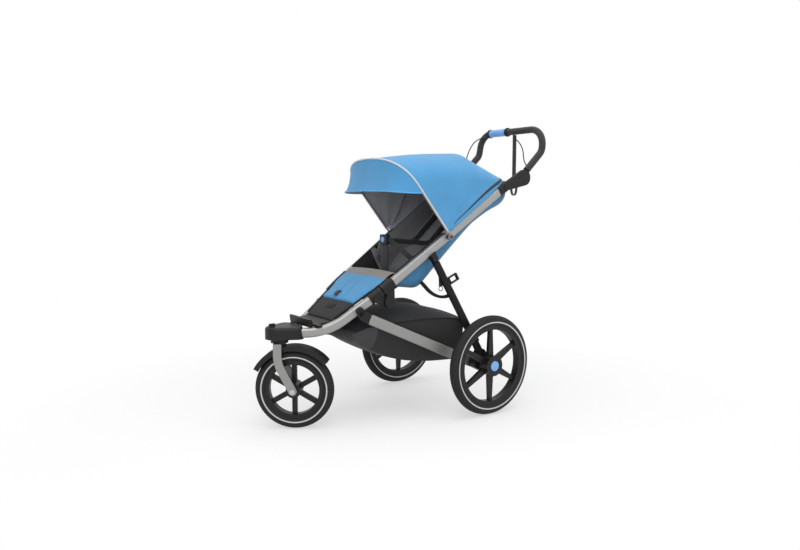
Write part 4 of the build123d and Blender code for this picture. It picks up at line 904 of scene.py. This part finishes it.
def tube_line(x):
    """Upper tube's middle in the side view, and the inner face across, at places along X."""
    share = (TUBE_FRONT[0] - x) / (TUBE_FRONT[0] - TUBE_REAR[0])
    across, height = (TUBE_FRONT[k] + (TUBE_REAR[k] - TUBE_FRONT[k]) * share for k in (1, 2))
    return height, across - TUBE_RADIUS


def tube_edge(x):
    """Cloth's edge on the upper tube at places along X: the place, its height and its half width."""
    height, inner = tube_line(x)
    return np.stack([x, height + 2 * TUBE_RADIUS, inner + 2], axis=1)


def bucket(corner, middle, top, count=61, power=7.0):
    """Cloth bucket: each row runs from the left tube down to a rounded corner, across and up again.

    Across = half x |cos a|^(2/p) and drop = |sin a|^(2/p) with a from 0 to pi; the middle hangs further by
    1 - (across/half)^6.
    """
    turn = np.linspace(0, math.pi, count)
    wide = np.sign(np.cos(turn)) * np.abs(np.cos(turn)) ** (2 / power)
    drop = np.abs(np.sin(turn)) ** (2 / power)
    corner, middle, top = (np.asarray(v, float)[:, None] for v in (corner, middle, top))
    half = top[..., 2] * (1 - drop) + corner[..., 2] * drop
    hang = (1 - np.abs(wide) ** 6) * drop
    x = top[..., 0] * (1 - drop) + corner[..., 0] * drop + (middle[..., 0] - corner[..., 0]) * hang
    z = top[..., 1] * (1 - drop) + corner[..., 1] * drop + (middle[..., 1] - corner[..., 1]) * hang
    return np.stack([x, half * wide, z], axis=-1)


def smooth_rows(rows, count):
    """Station table filled in along a smooth curve."""
    rows = np.asarray(rows, float)
    knots = np.linspace(0, 1, len(rows))
    return through(knots, rows, np.linspace(0, 1, count))


# Seat rows: the corner's X, Z and half width, the middle's X and Z, and the edge's X on the tube.
SEAT_STATIONS = ((338, 533, 155.5, 345, 517, 347), (300, 527, 152, 300, 512, 320),
                 (255, 520, 150, 255, 507, 288), (222, 514, 149, 222, 503, 262),
                 (204, 521, 149, 203, 510, 244), (184, 541, 149, 186, 524, 226),
                 (160, 563, 149, 168, 541, 207))
# Back rows: distance up, the corner's depth behind and half width, the middle's depth behind, the edge's X.
BACK_STATIONS = ((0, 0, 146, 9, 252), (40, 2, 146, 10, 226), (78, 2, 146, 10, 205), (131, -1, 146, 10, 175),
                 (181, -2, 147, 10, 140), (242, -3, 149, 10, 90), (310, -4, 153, 10, 32),
                 (361, -2, 159, 12, -10), (440, 18, 167, 26, -75), (500, 38, 173, 46, -122),
                 (530, 38, 176, 46, -140), (550, 27, 177, 34, -150), (563, 8, 177, 12, -158))
REAR_BOW = (-0.8, 0.0, 0.3)
SEAT_PIPING_ENDS = (350, 128)
LINING_ENDS = (140, -72)
LINING_OUTER = 218
LINING_LIFT = 25
LINING_RISE = 6


class STROLLER_OT_bucket(bpy.types.Operator):
    """Blue outer cloth of the seat and of the backrest, lined with mesh"""

    bl_idname = "stroller.bucket"
    bl_label = "Seat bucket"

    def execute(self, context):
        cloth = sizes().cloth_thickness
        rows = smooth_rows(SEAT_STATIONS, 40)
        grid = bucket(rows[:, 0:3], rows[:, 3:5], tube_edge(rows[:, 5]))
        seat = grid_piece("seat_bucket", grid, [FINISH["shell"], FINISH["mesh"]], flip=True)
        thicken(seat, cloth, 1)
        dress(seat, "upper_frame", "seat_sides")
        rows = smooth_rows(BACK_STATIONS, 90)
        corner = np.concatenate([back_point(rows[:, 0], -rows[:, 1], 0)[:, ::2], rows[:, 2:3]], axis=1)
        middle = back_point(rows[:, 0], -rows[:, 3], 0)[:, ::2]
        grid = bucket(corner, middle, tube_edge(rows[:, 4]))
        self.rear_panel(grid[-1])
        back = grid_piece("back_bucket", grid, [FINISH["shell"], FINISH["seat_sheet"]], flip=True)
        thicken(back, cloth, 1)
        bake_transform(back)
        for side, name in SIDES:
            self.tube_cover(name, side)
            self.edge_piping(name, side)
        return {"FINISHED"}

    def rear_panel(self, foot):
        """Panel behind the head from the canopy's rear edge to the backrest's top, bowed rearwards.

        Both edges are set at even steps; the bow is sin(pi t) times a share of the distance between them.
        """
        head = curve_through(canopy_grid()[-1], 97)
        foot = curve_through(foot, 97)
        share = np.linspace(0, 1, 24)[:, None, None]
        apart = np.linalg.norm(foot - head, axis=1)[None, :, None]
        bow = np.array(REAR_BOW) * 0.06 * apart * np.sin(math.pi * share)
        grid = head * (1 - share) + foot * share + bow
        panel = grid_piece("canopy_rear_panel", grid, [FINISH["canopy"], FINISH["lining"]])
        thicken(panel, sizes().cloth_thickness, 1)
        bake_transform(panel)

    def tube_cover(self, name, side):
        """Lining from the canopy's foot over the upper tube to the seat's edge, raised by half a wave."""
        x = np.linspace(*LINING_ENDS, 40)[:, None]
        height, inner = tube_line(x)
        share = np.linspace(0, 1, 9)[None, :]
        y = LINING_OUTER * (1 - share) + (inner + 1) * share
        z = height + LINING_LIFT + LINING_RISE * np.sin(share * math.pi)
        grid = np.stack([x + 0 * share, side * y, z + 0 * x], axis=-1)
        cover = grid_piece("tube_lining_" + name, grid, FINISH["lining"], flip=side < 0)
        thicken(cover, sizes().cloth_thickness)
        dress(cover, "upper_frame")

    def edge_piping(self, name, side):
        """Black piping along the seat bucket's edge on the upper tube."""
        path = tube_edge(np.linspace(*SEAT_PIPING_ENDS, 30))[:, [0, 2, 1]] * (1, side, 1)
        piping = round_bar("seat_piping_" + name, path, radius=2.4, finish=FINISH["piping_black"])
        dress(piping, "upper_frame")


def cushion(path, half, thick, power, ends, count, rows, crown=0.0):
    """Closed pad along a path: a superellipse section whose width and thickness follow the stations.

    The ends round off by sqrt(1 - (1 - t/e)^2), and the middle is thicker by crown x (1 - (across/half)^2).
    """
    path = curve_through(path, rows)
    t = np.linspace(0, 1, rows)
    stations = np.linspace(0, 1, len(half))
    half, thick = through(stations, half, t), through(stations, thick, t)
    near = np.clip(np.minimum(t, 1 - t) / ends, 0.0, 1.0)
    round_off = np.sqrt(np.clip(1 - (1 - near) ** 2, 0.004, 1))
    outline = oval(2, 1, power, count)
    bulge = 1 + crown * (1 - outline[:, 0] ** 2)
    profile = np.empty((rows, count, 2))
    profile[..., 0] = outline[None, :, 0] * (half - ends * 0.5 * half * (1 - round_off))[:, None]
    profile[..., 1] = (outline[:, 1] * bulge)[None, :] * (thick * round_off)[:, None]
    return carry(path, profile, (0, 1, 0))


def pad_piece(name, path, half, thick, finish, **shape):
    """Cushion as a closed mesh."""
    return grid_piece(name, cushion(path, half, thick, **shape), finish, wrap=(False, True), caps=True)


PUFF_PRESSURE = 4.0
PUFF_FRAMES = 20


def puff(piece, voxel, cap):
    """Padding: the pad is remeshed and blown up by cloth under pressure, no point further than the cap.

    The swollen mesh is then divided once more.
    """
    context = bpy.context
    start = piece.modifiers.new("even", "REMESH")
    start.mode = "VOXEL"
    start.voxel_size = voxel
    mesh = bpy.data.meshes.new_from_object(piece.evaluated_get(context.evaluated_depsgraph_get()))
    piece.modifiers.clear()
    finish = piece.data.materials[0]
    before = np.empty(len(mesh.vertices) * 3)
    mesh.vertices.foreach_get("co", before)
    mesh.materials.clear()
    mesh.materials.append(finish)
    piece.data = mesh
    cloth = piece.modifiers.new("puff", "CLOTH")
    cloth.settings.use_pressure = True
    cloth.settings.uniform_pressure_force = PUFF_PRESSURE
    cloth.settings.effector_weights.gravity = 0.0
    cloth.settings.quality = 4
    cloth.settings.mass = 0.3
    cloth.point_cache.frame_start = 1
    cloth.point_cache.frame_end = PUFF_FRAMES
    for number in range(1, PUFF_FRAMES + 1):
        context.scene.frame_set(number)
    blown = bpy.data.meshes.new_from_object(piece.evaluated_get(context.evaluated_depsgraph_get()))
    piece.modifiers.clear()
    context.scene.frame_set(1)
    after = np.empty(len(blown.vertices) * 3)
    blown.vertices.foreach_get("co", after)
    move = (after - before).reshape(-1, 3)
    far = np.linalg.norm(move, axis=1, keepdims=True)
    move = move * np.minimum(1, cap / np.maximum(far, 1e-9))
    piece.data.vertices.foreach_set("co", (before.reshape(-1, 3) + move).ravel())
    piece.data.polygons.foreach_set("use_smooth", np.ones(len(piece.data.polygons), bool))
    piece.data.update()
    finer = piece.modifiers.new("finer", "SUBSURF")
    finer.levels = 1
    finer.render_levels = 1
    whole = bpy.data.meshes.new_from_object(piece.evaluated_get(context.evaluated_depsgraph_get()))
    piece.modifiers.clear()
    piece.data = whole


def channels(piece, planes, depth, width):
    """Sewn channels: points near each plane sink along their normals by depth x exp(-(d/width)^2)."""
    mesh = piece.data
    count = len(mesh.vertices)
    place = np.empty(count * 3)
    normal = np.empty(count * 3)
    mesh.vertices.foreach_get("co", place)
    mesh.vertices.foreach_get("normal", normal)
    place, normal = place.reshape(-1, 3), normal.reshape(-1, 3)
    sink = np.zeros(count)
    for point, facing in planes:
        away = (place - to_frame(point)) @ unit(facing)
        sink = np.maximum(sink, np.exp(-(away / width) ** 2))
    mesh.vertices.foreach_set("co", (place - normal * sink[:, None] * depth).ravel())
    mesh.update()


def band(name, path, width, thick, side, finish, count=40):
    """Flat strap: a superellipse of its width and thickness, carried along a smooth path."""
    path = curve_through(path, count)
    return bar_piece(name, path, oval(width, thick, power=3.5, count=12), side, finish)


BAND_PATH = ((316, 554), (328, 568), (345, 574), (362, 572), (378, 564), (390, 554), (405, 543), (435, 522),
             (449, 510))
BAND_HALF = ((330, 385, 447), (153, 150, 147))
BAND_FOLD = 388
BAND_FOLD_DEPTH = 1.2
BAND_CROWN = 5
BAND_SEAMS = ((18, 1.6), (-36, 0.96))
BAND_SEAM_WIDTH = 2.6
BAND_SEAM_START = 372
SEAT_REAR = (230, 512)
SEAT_SLOPE = 0.0988
PAD_LIFT = 18
BACK_SEAMS_ACROSS = (-92, 92)
BACK_SEAMS_UP = (150, 430)
SEAT_SEAMS_ACROSS = (-75, 75)
STRAPS_APART = 55
CROTCH_X = 290


class STROLLER_OT_seat(bpy.types.Operator):
    """Seat cushion, backrest pad, harness and the band over the seat's front"""

    bl_idname = "stroller.seat"
    bl_label = "Seat"

    def execute(self, context):
        swell = sizes().pad_swell
        back = pad_piece("backrest_pad", back_point((4, 80, 200, 330, 470, 554), 19, 0),
                         (124, 136, 133, 134, 140, 132), (26, 31, 31, 31, 31, 22), FINISH["seat"],
                         power=4.2, ends=0.05, count=44, rows=90, crown=0.12)
        puff(back, voxel=0.006, cap=swell)
        seams = [((0, y, 0), (0, 1, 0)) for y in BACK_SEAMS_ACROSS]
        seams += [(back_point(d, 0, 0), (BACK_ALONG[0], 0, BACK_ALONG[1])) for d in BACK_SEAMS_UP]
        channels(back, seams, depth=0.0035, width=0.004)
        dress(back, "backrest", "backrest")
        x = np.array([388.0, 350, 300, 260, 233])
        path = np.stack([x, 0 * x, SEAT_REAR[1] + (x - SEAT_REAR[0]) * SEAT_SLOPE + PAD_LIFT], axis=1)
        pan = pad_piece("seat_pad", path, (138, 142, 141, 142, 142), (20, 27, 28, 27, 22), FINISH["seat"],
                        power=4.2, ends=0.08, count=44, rows=50, crown=0.15)
        puff(pan, voxel=0.006, cap=swell)
        seams = [((0, y, 0), (0, 1, 0)) for y in SEAT_SEAMS_ACROSS]
        channels(pan, seams, depth=0.003, width=0.004)
        dress(pan, "upper_frame", "seat_pan")
        self.front_band()
        self.harness()
        return {"FINISHED"}

    def front_band(self):
        """Band over the seat's front: a section carried across, crowned by 1 - (y/half)^2, with two seams."""
        section = curve_through(BAND_PATH, 60)
        x, z = section[:, :1], section[:, 1:]
        place = np.linspace(1, -1, 151)[None, :]
        half = np.interp(section[:, 0], *BAND_HALF)[:, None]
        across = half * place
        rise = BAND_CROWN * (1 - place ** 2)
        ahead = ease((x - BAND_SEAM_START) / 20)
        seam = sum(depth * np.exp(-((across - y) / BAND_SEAM_WIDTH) ** 2) for y, depth in BAND_SEAMS)
        edge = np.exp(-((x - BAND_FOLD) / 2.0) ** 2)
        slope = unit(np.gradient(section, axis=0))
        lift = rise - seam * ahead - BAND_FOLD_DEPTH * edge
        grid = np.stack([x - slope[:, 1:] * lift, across, z + slope[:, :1] * lift], axis=-1)
        cover = grid_piece("seat_front_band", grid, [FINISH["band"], FINISH["band_blue"]])
        row = np.repeat(np.arange(len(section) - 1), across.shape[1] - 1)
        refinish(cover, section[row, 0] > BAND_FOLD, 1)
        thicken(cover, sizes().cloth_thickness * 1.5)
        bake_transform(cover)

    def harness(self):
        """Shoulder pads with their webbing, the crotch pad and the waist straps."""
        for side, name in SIDES:
            path = back_point((193, 260, 340, 426), 49.2, side * STRAPS_APART)
            pad = pad_piece("shoulder_pad_" + name, path, (17, 18, 18, 17), (6, 7, 7, 6), FINISH["strap_pad"],
                            power=3.0, ends=0.05, count=28, rows=50)
            dress(pad, "backrest", "shoulder_pads" if side > 0 else None)
            tail = back_point((425, 440, 452), (49, 48, 40), side * STRAPS_APART)
            upper = band("shoulder_web_" + name, tail, width=25, thick=1.6, side=(0, 1, 0),
                         finish=FINISH["webbing"], count=12)
            dress(upper, "backrest")
            foot = back_point((196, 180), (49, 52), side * 54)
            lap = [(180, side * 48, 686), (240, side * 34, 690), (281, side * 22, 692)]
            run = np.concatenate([foot, lap])
            lower = band("harness_web_" + name, run, width=22, thick=1.6, side=(0.1, side * 0.45, 1),
                         finish=FINISH["webbing"])
            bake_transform(lower)
            run = [(288, side * 25, 698), (270, side * 70, 668), (248, side * 118, 630),
                   (227, side * 148, 602)]
            waist = band("waist_web_" + name, run, width=25, thick=1.8, side=(0.15, 0, 1),
                         finish=FINISH["webbing"])
            dress(waist, "upper_frame", "waist_straps" if side > 0 else None)
        path = [(CROTCH_X, 0, z) for z in (563, 600, 640, 678)]
        crotch = pad_piece("crotch_cover", path, (23, 24, 24, 22), (9, 11, 11, 9), FINISH["crotch"],
                           power=3.0, ends=0.06, count=28, rows=40)
        dress(crotch, "upper_frame", "crotch_pad")


PANEL_FOOT = np.array([578.0, 404.0])
PANEL_HEAD = np.array([426.0, 509.0])
PANEL_PIPING_ENDS = (-0.02, 1.12)
PANEL_PIPING_HALF = ((0, 0.47, 1.0, 1.12), (104, 126, 149, 151))
TAB_ENDS = (0.54, 0.69)
TAB_ACROSS = -22
TAB_LIFT = 28
TAB_RISE = 6


def panel_point(share, depth, across):
    """Point on the leg panel: share from foot to head, depth in front of its rear face, place across."""
    along = unit(PANEL_HEAD - PANEL_FOOT)
    front = np.array([along[1], -along[0]])
    share, depth, across = np.broadcast_arrays(*(np.asarray(v, float) for v in (share, depth, across)))
    side = PANEL_FOOT + (PANEL_HEAD - PANEL_FOOT) * share[..., None] + front * depth[..., None]
    return np.stack([side[..., 0], across, side[..., 1]], axis=-1)


class STROLLER_OT_panel_pads(bpy.types.Operator):
    """Leg panel: blue padded upper half with seams, dark ribbed lower half, tab and edge piping"""

    bl_idname = "stroller.leg_panel"
    bl_label = "Leg panel"

    def execute(self, context):
        upper = pad_piece("leg_panel_upper", panel_point((0.46, 0.6, 0.8, 1.03), 14, 0),
                          (124, 129, 136, 146), (14, 15, 15, 12), FINISH["blue_pad"],
                          power=6.0, ends=0.05, count=60, rows=70, crown=0.15)
        puff(upper, voxel=0.005, cap=sizes().pad_swell * 0.5)
        foot, head = panel_point((0.48, 1.0), 0, (33, 20))
        lean = np.cross(head - foot, panel_point(0, 1, 0) - panel_point(0, 0, 0))
        channels(upper, [(foot, lean), ((0, -36, 0), (0, 1, 0))], depth=0.0034, width=0.0042)
        dress(upper, "front_frame", "leg_panel")
        lower = pad_piece("leg_panel_lower", panel_point((-0.07, 0.1, 0.28, 0.475), 11, 0),
                          (101, 108, 115, 124), (9, 13, 14, 13), FINISH["ribbed"],
                          power=5.0, ends=0.05, count=44, rows=60, crown=0.1)
        dress(lower, "front_frame")
        for side, name in SIDES:
            share = np.linspace(*PANEL_PIPING_ENDS, 30)
            reach = np.interp(share, *PANEL_PIPING_HALF)
            path = panel_point(share, 15, side * reach)
            piping = round_bar("panel_piping_" + name, path, radius=4.2, finish=FINISH["piping_black"])
            dress(piping, "front_frame")
        share = np.linspace(*TAB_ENDS, 24)
        hump = TAB_LIFT + TAB_RISE * np.sin(np.linspace(0, math.pi, 24)) ** 0.3
        tab = band("panel_tab", panel_point(share, hump, TAB_ACROSS), width=22, thick=3.4, side=(0, 1, 0),
                   finish=FINISH["webbing"])
        dress(tab, "front_frame")
        patch = pad_piece("panel_patch", panel_point((0.2, 0.27, 0.34), 19, 2), (27, 28, 27), (3, 3.4, 3),
                          FINISH["strap_pad"], power=6.0, ends=0.1, count=32, rows=24)
        dress(patch, "front_frame")
        return {"FINISHED"}


# Basket rows: X, the rim's height, the floor's half width and height, and the lid's crown.
BASKET_STATIONS = ((62, 380, 150, 200, 20), (180, 392, 140, 206, 36), (330, 388, 120, 232, 34),
                   (440, 381, 100, 280, 22), (520, 356, 70, 324, 8))
BASKET_REAR = 63.0
BASKET_NOSE = 519.0
# Where the bag's front begins; the cloth ahead of it gets the painted highlight.
BASKET_FACING = 432
BASKET_WIDEST = 231
FLOOR_SAG = 5
NOSE_BULGE = 5
REAR_BULGE = 2.5
MOUTH_HEIGHT = 311.0
MOUTH_SIZE = (320, 122)
STAY_REAR = (40, 252)
STAY_FRONT = (492, 171)
STAY_GAP = 9.8
LUG_ROOM = 21
LUG_START = 435
LUG_RUN = 40


def basket_rim(x):
    """Half width of the basket's rim, just inside the stays and drawn in at the front for the lugs."""
    share = (x - STAY_REAR[0]) / (STAY_FRONT[0] - STAY_REAR[0])
    inside = STAY_REAR[1] + (STAY_FRONT[1] - STAY_REAR[1]) * share - STAY_GAP
    return np.minimum(inside, BASKET_WIDEST) - LUG_ROOM * ease((x - LUG_START) / LUG_RUN)


def basket_rows(places):
    """Basket sizes at places along X, as a smooth curve through the stations."""
    table = np.array(BASKET_STATIONS, float)
    return through(table[:, 0], table[:, 1:], places)


class STROLLER_OT_basket(bpy.types.Operator):
    """Cargo basket: a sagging bag slung between the stays, with a lid and a wide mouth in its rear wall"""

    bl_idname = "stroller.basket"
    bl_label = "Basket"

    def execute(self, context):
        cloth = sizes().cloth_thickness * 1.4
        x = np.linspace(BASKET_REAR, BASKET_NOSE, 90)
        top, floor_half, floor, crown = basket_rows(x).T
        rim = basket_rim(x)
        # Each side is an arc that leaves the rim straight down and ends at the floor's edge. The floor sags,
        # and the lid is crowned, by 1 - (across/half)^2.
        flare = rim - floor_half
        radius = (flare ** 2 + (top - floor) ** 2) / (2 * flare)
        sweep = np.arccos((radius - flare) / radius)
        turn = np.linspace(0, 1, 26)[None, :] * sweep[:, None]
        side_y = (rim - radius)[:, None] + radius[:, None] * np.cos(turn)
        side_z = top[:, None] - radius[:, None] * np.sin(turn)
        flat = np.linspace(1, -1, 40)[None, 1:-1] * floor_half[:, None]
        sag = FLOOR_SAG * (1 - (flat / floor_half[:, None]) ** 2)
        y = np.concatenate([side_y, flat, -side_y[:, ::-1]], axis=1)
        z = np.concatenate([side_z, floor[:, None] - sag, side_z[:, ::-1]], axis=1)
        grid = np.stack([np.broadcast_to(x[:, None], y.shape), y, z], axis=-1)
        # The bag ahead of BASKET_FACING takes the lighter copy of the basket cloth: painted highlight.
        bag = grid_piece("basket_bag", grid, [FINISH["dark"], FINISH["dark_painted_light"]])
        row = np.repeat(np.arange(len(x) - 1), y.shape[1] - 1)
        refinish(bag, x[row] > BASKET_FACING, 1)
        thicken(bag, cloth)
        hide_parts("basket")
        self.settle(bag)
        across = np.linspace(1, -1, 50)[None, :] * rim[:, None]
        rise = crown[:, None] * (1 - (across / rim[:, None]) ** 2)
        cover = np.stack([np.broadcast_to(x[:, None], across.shape), across, top[:, None] + rise], axis=-1)
        lid = grid_piece("basket_lid", cover, FINISH["dark"], flip=True)
        thicken(lid, cloth)
        self.settle(lid)
        nose_top = np.interp(-grid[-1, :, 1], -cover[-1, :, 1], cover[-1, :, 2])
        share = np.linspace(0, 1, 6)[:, None]
        nose_z = z[-1] * (1 - share) + nose_top * share
        nose_x = BASKET_NOSE + NOSE_BULGE * np.sin(math.pi * share) + 0 * nose_z
        nose = np.stack([nose_x, np.broadcast_to(y[-1], nose_z.shape), nose_z], axis=-1)
        # The nose takes the same lighter copy of the basket cloth, a painted highlight.
        front = grid_piece("basket_nose", nose, FINISH["dark_painted_light"])
        thicken(front, cloth)
        self.settle(front)
        for side, name in SIDES:
            path = np.stack([x, side * (rim + 0.5), top + 0.5], axis=1)
            piping = round_bar("basket_piping_" + name, path, radius=2.6, finish=FINISH["piping_black"])
            self.settle(piping)
        self.rear_wall(np.concatenate([grid[0], cover[0, ::-1]]), cloth)
        return {"FINISHED"}

    def rear_wall(self, outline, cloth):
        """Rear wall from the bag's rear outline in to its mouth, by angle about the mouth's middle."""
        middle = np.array([0.0, MOUTH_HEIGHT])
        turn = whole_turn(144)
        away = outline[:, 1:] - middle
        bearing = np.arctan2(away[:, 1], away[:, 0])
        outer = np.interp(turn, bearing, np.hypot(*away.T), period=2 * math.pi)
        mouth = oval(*MOUTH_SIZE, power=9.0, count=400)
        inner = np.interp(turn, np.arctan2(mouth[:, 1], mouth[:, 0]), np.hypot(*mouth.T), period=2 * math.pi)
        share = np.linspace(0, 1, 14)[:, None]
        reach = outer * (1 - share) + (inner - 1.5) * share
        x = BASKET_REAR - REAR_BULGE * np.sin(math.pi * share) + 0 * reach
        grid = np.stack([x, middle[0] + reach * np.cos(turn), middle[1] + reach * np.sin(turn)], axis=-1)
        wall = grid_piece("basket_rear", grid, FINISH["dark"], wrap=(False, True))
        thicken(wall, cloth)
        self.settle(wall)
        hem = oval(5, 5, power=2.0, count=10)
        self.settle(ring_piece("basket_hem", grid[-1], hem, (1, 0, 0), FINISH["webbing"]))

    def settle(self, piece):
        """Basket cloth rides on the stays, with a mesh of its own."""
        dress(piece, "stays")
        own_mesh(piece)


WRIST_TOP = (-410.0, 16.0, 1150.0)
WRIST_DROP = 182
LOOP_HALF = (16, 46)
LOOP_DROP = 44
HANDLE_MIDDLE = (-410, 1166)
COLLARS = ((-30.5, "inner"), (-145.5, "outer"))
COLLAR_RADIUS = 15.8
RING_MIDDLE = (149, 190, 505)
RING_HALF = (10, 9)
LEG_SLING = ((224, 532), (209, 515), (194, 498), (169, 480), (139, 470), (118, 470), (103, 475))
HANGING_WEB = ((163, 589), (153, 572), (150, 540), (149, 514))


class STROLLER_OT_straps(bpy.types.Operator):
    """Wrist strap and collars of the handlebar, and the straps under the seat"""

    bl_idname = "stroller.straps"
    bl_label = "Straps"

    def execute(self, context):
        x, y, top = WRIST_TOP
        drop = np.array([(x, y, top), (x, y, top - 60), (x, y, top - WRIST_DROP)])
        stem = band("wrist_web", drop, width=19, thick=3, side=(1, -0.35, 0), finish=FINISH["webbing"])
        dress(stem, "handlebar", "wrist_strap")
        # The loop is egg-shaped: sin a (1 - cos a / 4) times its half width, and cos a times its half height.
        turn = whole_turn(48)
        loop = np.stack([0 * turn + x, y + LOOP_HALF[0] * np.sin(turn) * (1 - 0.25 * np.cos(turn)),
                         top - WRIST_DROP - LOOP_DROP + LOOP_HALF[1] * np.cos(turn)], axis=1)
        web = oval(15, 2.6, power=3.5, count=12)
        ring = ring_piece("wrist_loop", loop, web, (1, 0, 0), FINISH["webbing"])
        dress(ring, "handlebar")
        self.collars()
        self.seat_straps()
        return {"FINISHED"}

    def collars(self):
        """Rounded collars at both ends of the twist brake: an oval turned about the handlebar's cross bar."""
        turn = whole_turn(48)[:, None]
        shape = oval(13, 9, power=3.0, count=20)
        for y, name in COLLARS:
            reach = COLLAR_RADIUS + shape[None, :, 1]
            grid = np.stack([HANDLE_MIDDLE[0] + reach * np.cos(turn), y + shape[None, :, 0] + 0 * turn,
                             HANDLE_MIDDLE[1] + reach * np.sin(turn)], axis=-1)
            collar = grid_piece("twist_collar_" + name, grid, FINISH["black"], wrap=(True, True))
            dress(collar, "handlebar")

    def seat_straps(self):
        """Straps under the seat's rear, on both sides: a sling to the leg, a hanging strap and its ring."""
        sling, hang = np.array(LEG_SLING, float), np.array(HANGING_WEB, float)
        for side, name in SIDES:
            path = np.insert(sling, 1, side * np.linspace(160, 188, len(sling)), axis=1)
            strap = band("leg_sling_" + name, path, width=20, thick=12, side=(0, 1, 0),
                         finish=FINISH["strap_pad"], count=50)
            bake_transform(strap)
            path = np.insert(hang, 1, side * np.array([172, 184, 190, 190.0]), axis=1)
            strap = band("hanging_web_" + name, path, width=20, thick=2.4, side=(1, 0, 0),
                         finish=FINISH["webbing"])
            dress(strap, "upper_frame")
            turn = whole_turn(40)
            x, y, z = RING_MIDDLE
            ring = np.stack([x + RING_HALF[0] * np.sin(turn), 0 * turn + side * y,
                             z + RING_HALF[1] * np.cos(turn)], axis=1)
            wire = oval(3, 3, power=2.0, count=10)
            loop = ring_piece("strap_ring_" + name, ring, wire, (0, 1, 0), FINISH["black"])
            dress(loop, "upper_frame")


FLOOR_REACH = 60.0
SKY_GREY = 0.56
LAMPS = (("overhead", (0.0, 0.2, 3.4), 3.4, 60.0), ("key", (2.1, 2.9, 1.9), 2.2, 39.0),
         ("fill", (-1.6, 3.0, 1.8), 2.2, 10.0))
CAMERA_TARGET = (214.7, 0.0, 547.4)
CAMERA_SENSOR = 36.0
CAMERA_LENS = 32.52


class STROLLER_OT_stage(bpy.types.Operator):
    """Floor, soft studio light and the camera"""

    bl_idname = "stroller.stage"
    bl_label = "Stage"

    def execute(self, context):
        scene = context.scene
        scene.view_settings.view_transform = "Standard"
        self.floor()
        self.world(scene)
        self.lamps(scene)
        self.camera(scene)
        return {"FINISHED"}

    def floor(self):
        """Wide pale floor that keeps the stroller's soft shadow."""
        finish = Finish("floor_paper", Roughness=0.9, Specular_IOR_Level=0.0)
        patch = finish.noise(0.4, 1.0)
        finish.feed("Base Color", finish.mix(patch, (0.93, 0.93, 0.93), (0.95, 0.95, 0.95)))
        x, y = finish.axes()[:2]
        fade = finish.node("ShaderNodeMapRange", {"interpolation_type": "SMOOTHSTEP"},
                           {"Value": (x * x + y * y) ** 0.5, "From Min": 0.75, "From Max": 1.7})
        glow = finish.node("ShaderNodeEmission", None, {"Color": (1, 1, 1, 1), "Strength": 1.0})
        paper = Wire(finish, finish.shader.outputs[0])
        finish.close("Material Output", paper, glow, (fade * 0.5 + 0.5) * finish.seen())
        mesh = bpy.data.meshes.new("floor")
        corners = [(x * FLOOR_REACH, y * FLOOR_REACH, 0) for x, y in ((-1, -1), (1, -1), (1, 1), (-1, 1))]
        mesh.from_pydata(corners, [], [(0, 1, 2, 3)])
        finish_mesh("floor", mesh, finish.material)

    def world(self, scene):
        """Even pale sky: plain light on the stroller, white where the camera or a reflection sees it."""
        world = bpy.data.worlds.new("studio")
        world.use_nodes = True
        bench = Bench(world.node_tree)
        sky = bench.tree.nodes["Background"]
        sky.inputs["Color"].default_value = (SKY_GREY, SKY_GREY, SKY_GREY, 1)
        white = bench.node("ShaderNodeBackground", None, {"Color": (1, 1, 1, 1)})
        bench.close("World Output", Wire(bench, sky.outputs[0]), white, bench.seen())
        scene.world = world

    def lamps(self, scene):
        """Large overhead lamp, a key beside the camera and a weak fill from its right."""
        for name, place, size, power in LAMPS:
            lamp = bpy.data.lights.new(name, "AREA")
            lamp.size = size
            lamp.energy = power
            piece = bpy.data.objects.new(name, lamp)
            piece.location = place
            piece.rotation_euler = (Vector((0, 0, 0.5)) - Vector(place)).to_track_quat("-Z", "Y").to_euler()
            scene.collection.objects.link(piece)

    def camera(self, scene):
        """Camera at the photograph's angle."""
        s = sizes()
        target = spot(*CAMERA_TARGET)
        bearing, height = s.camera_bearing, s.camera_height
        level = math.cos(height)
        away = Vector((level * math.cos(bearing), level * math.sin(bearing), math.sin(height)))
        data = bpy.data.cameras.new("camera")
        data.sensor_width = CAMERA_SENSOR
        data.lens = CAMERA_LENS
        piece = bpy.data.objects.new("camera", data)
        piece.location = target + away * s.camera_distance
        piece.rotation_euler = (-away).to_track_quat("-Z", "Y").to_euler()
        scene.collection.objects.link(piece)
        scene.camera = piece


STEPS = (STROLLER_OT_finishes, STROLLER_OT_stage, STROLLER_OT_cables, STROLLER_OT_tyres, STROLLER_OT_canopy,
         STROLLER_OT_bucket, STROLLER_OT_seat, STROLLER_OT_panel_pads, STROLLER_OT_basket, STROLLER_OT_straps)


class STROLLER_PT_panel(bpy.types.Panel):
    """The stroller's settings and making steps"""

    bl_idname = "STROLLER_PT_panel"
    bl_label = "Stroller"
    bl_space_type = "VIEW_3D"
    bl_region_type = "UI"
    bl_category = "Stroller"

    def draw(self, context):
        for group in (context.scene.stroller_colours, context.scene.stroller_sizes):
            for key in group.bl_rna.properties.keys():
                if key not in ("rna_type", "name"):
                    self.layout.prop(group, key)
        for step in STEPS:
            self.layout.operator(step.bl_idname)


CLASSES = (StrollerColours, StrollerSizes, *STEPS, STROLLER_PT_panel)


def register():
    """Add the classes and the scene's settings."""
    for made in CLASSES:
        bpy.utils.register_class(made)
    bpy.types.Scene.stroller_colours = bpy.props.PointerProperty(type=StrollerColours)
    bpy.types.Scene.stroller_sizes = bpy.props.PointerProperty(type=StrollerSizes)


def unregister():
    """Take the settings and classes away again."""
    del bpy.types.Scene.stroller_colours
    del bpy.types.Scene.stroller_sizes
    for made in reversed(CLASSES):
        bpy.utils.unregister_class(made)


def main():
    """Make every piece in order."""
    register()
    for step in STEPS:
        group, name = step.bl_idname.split(".")
        getattr(getattr(bpy.ops, group), name)()


if __name__ == "__main__":
    main()
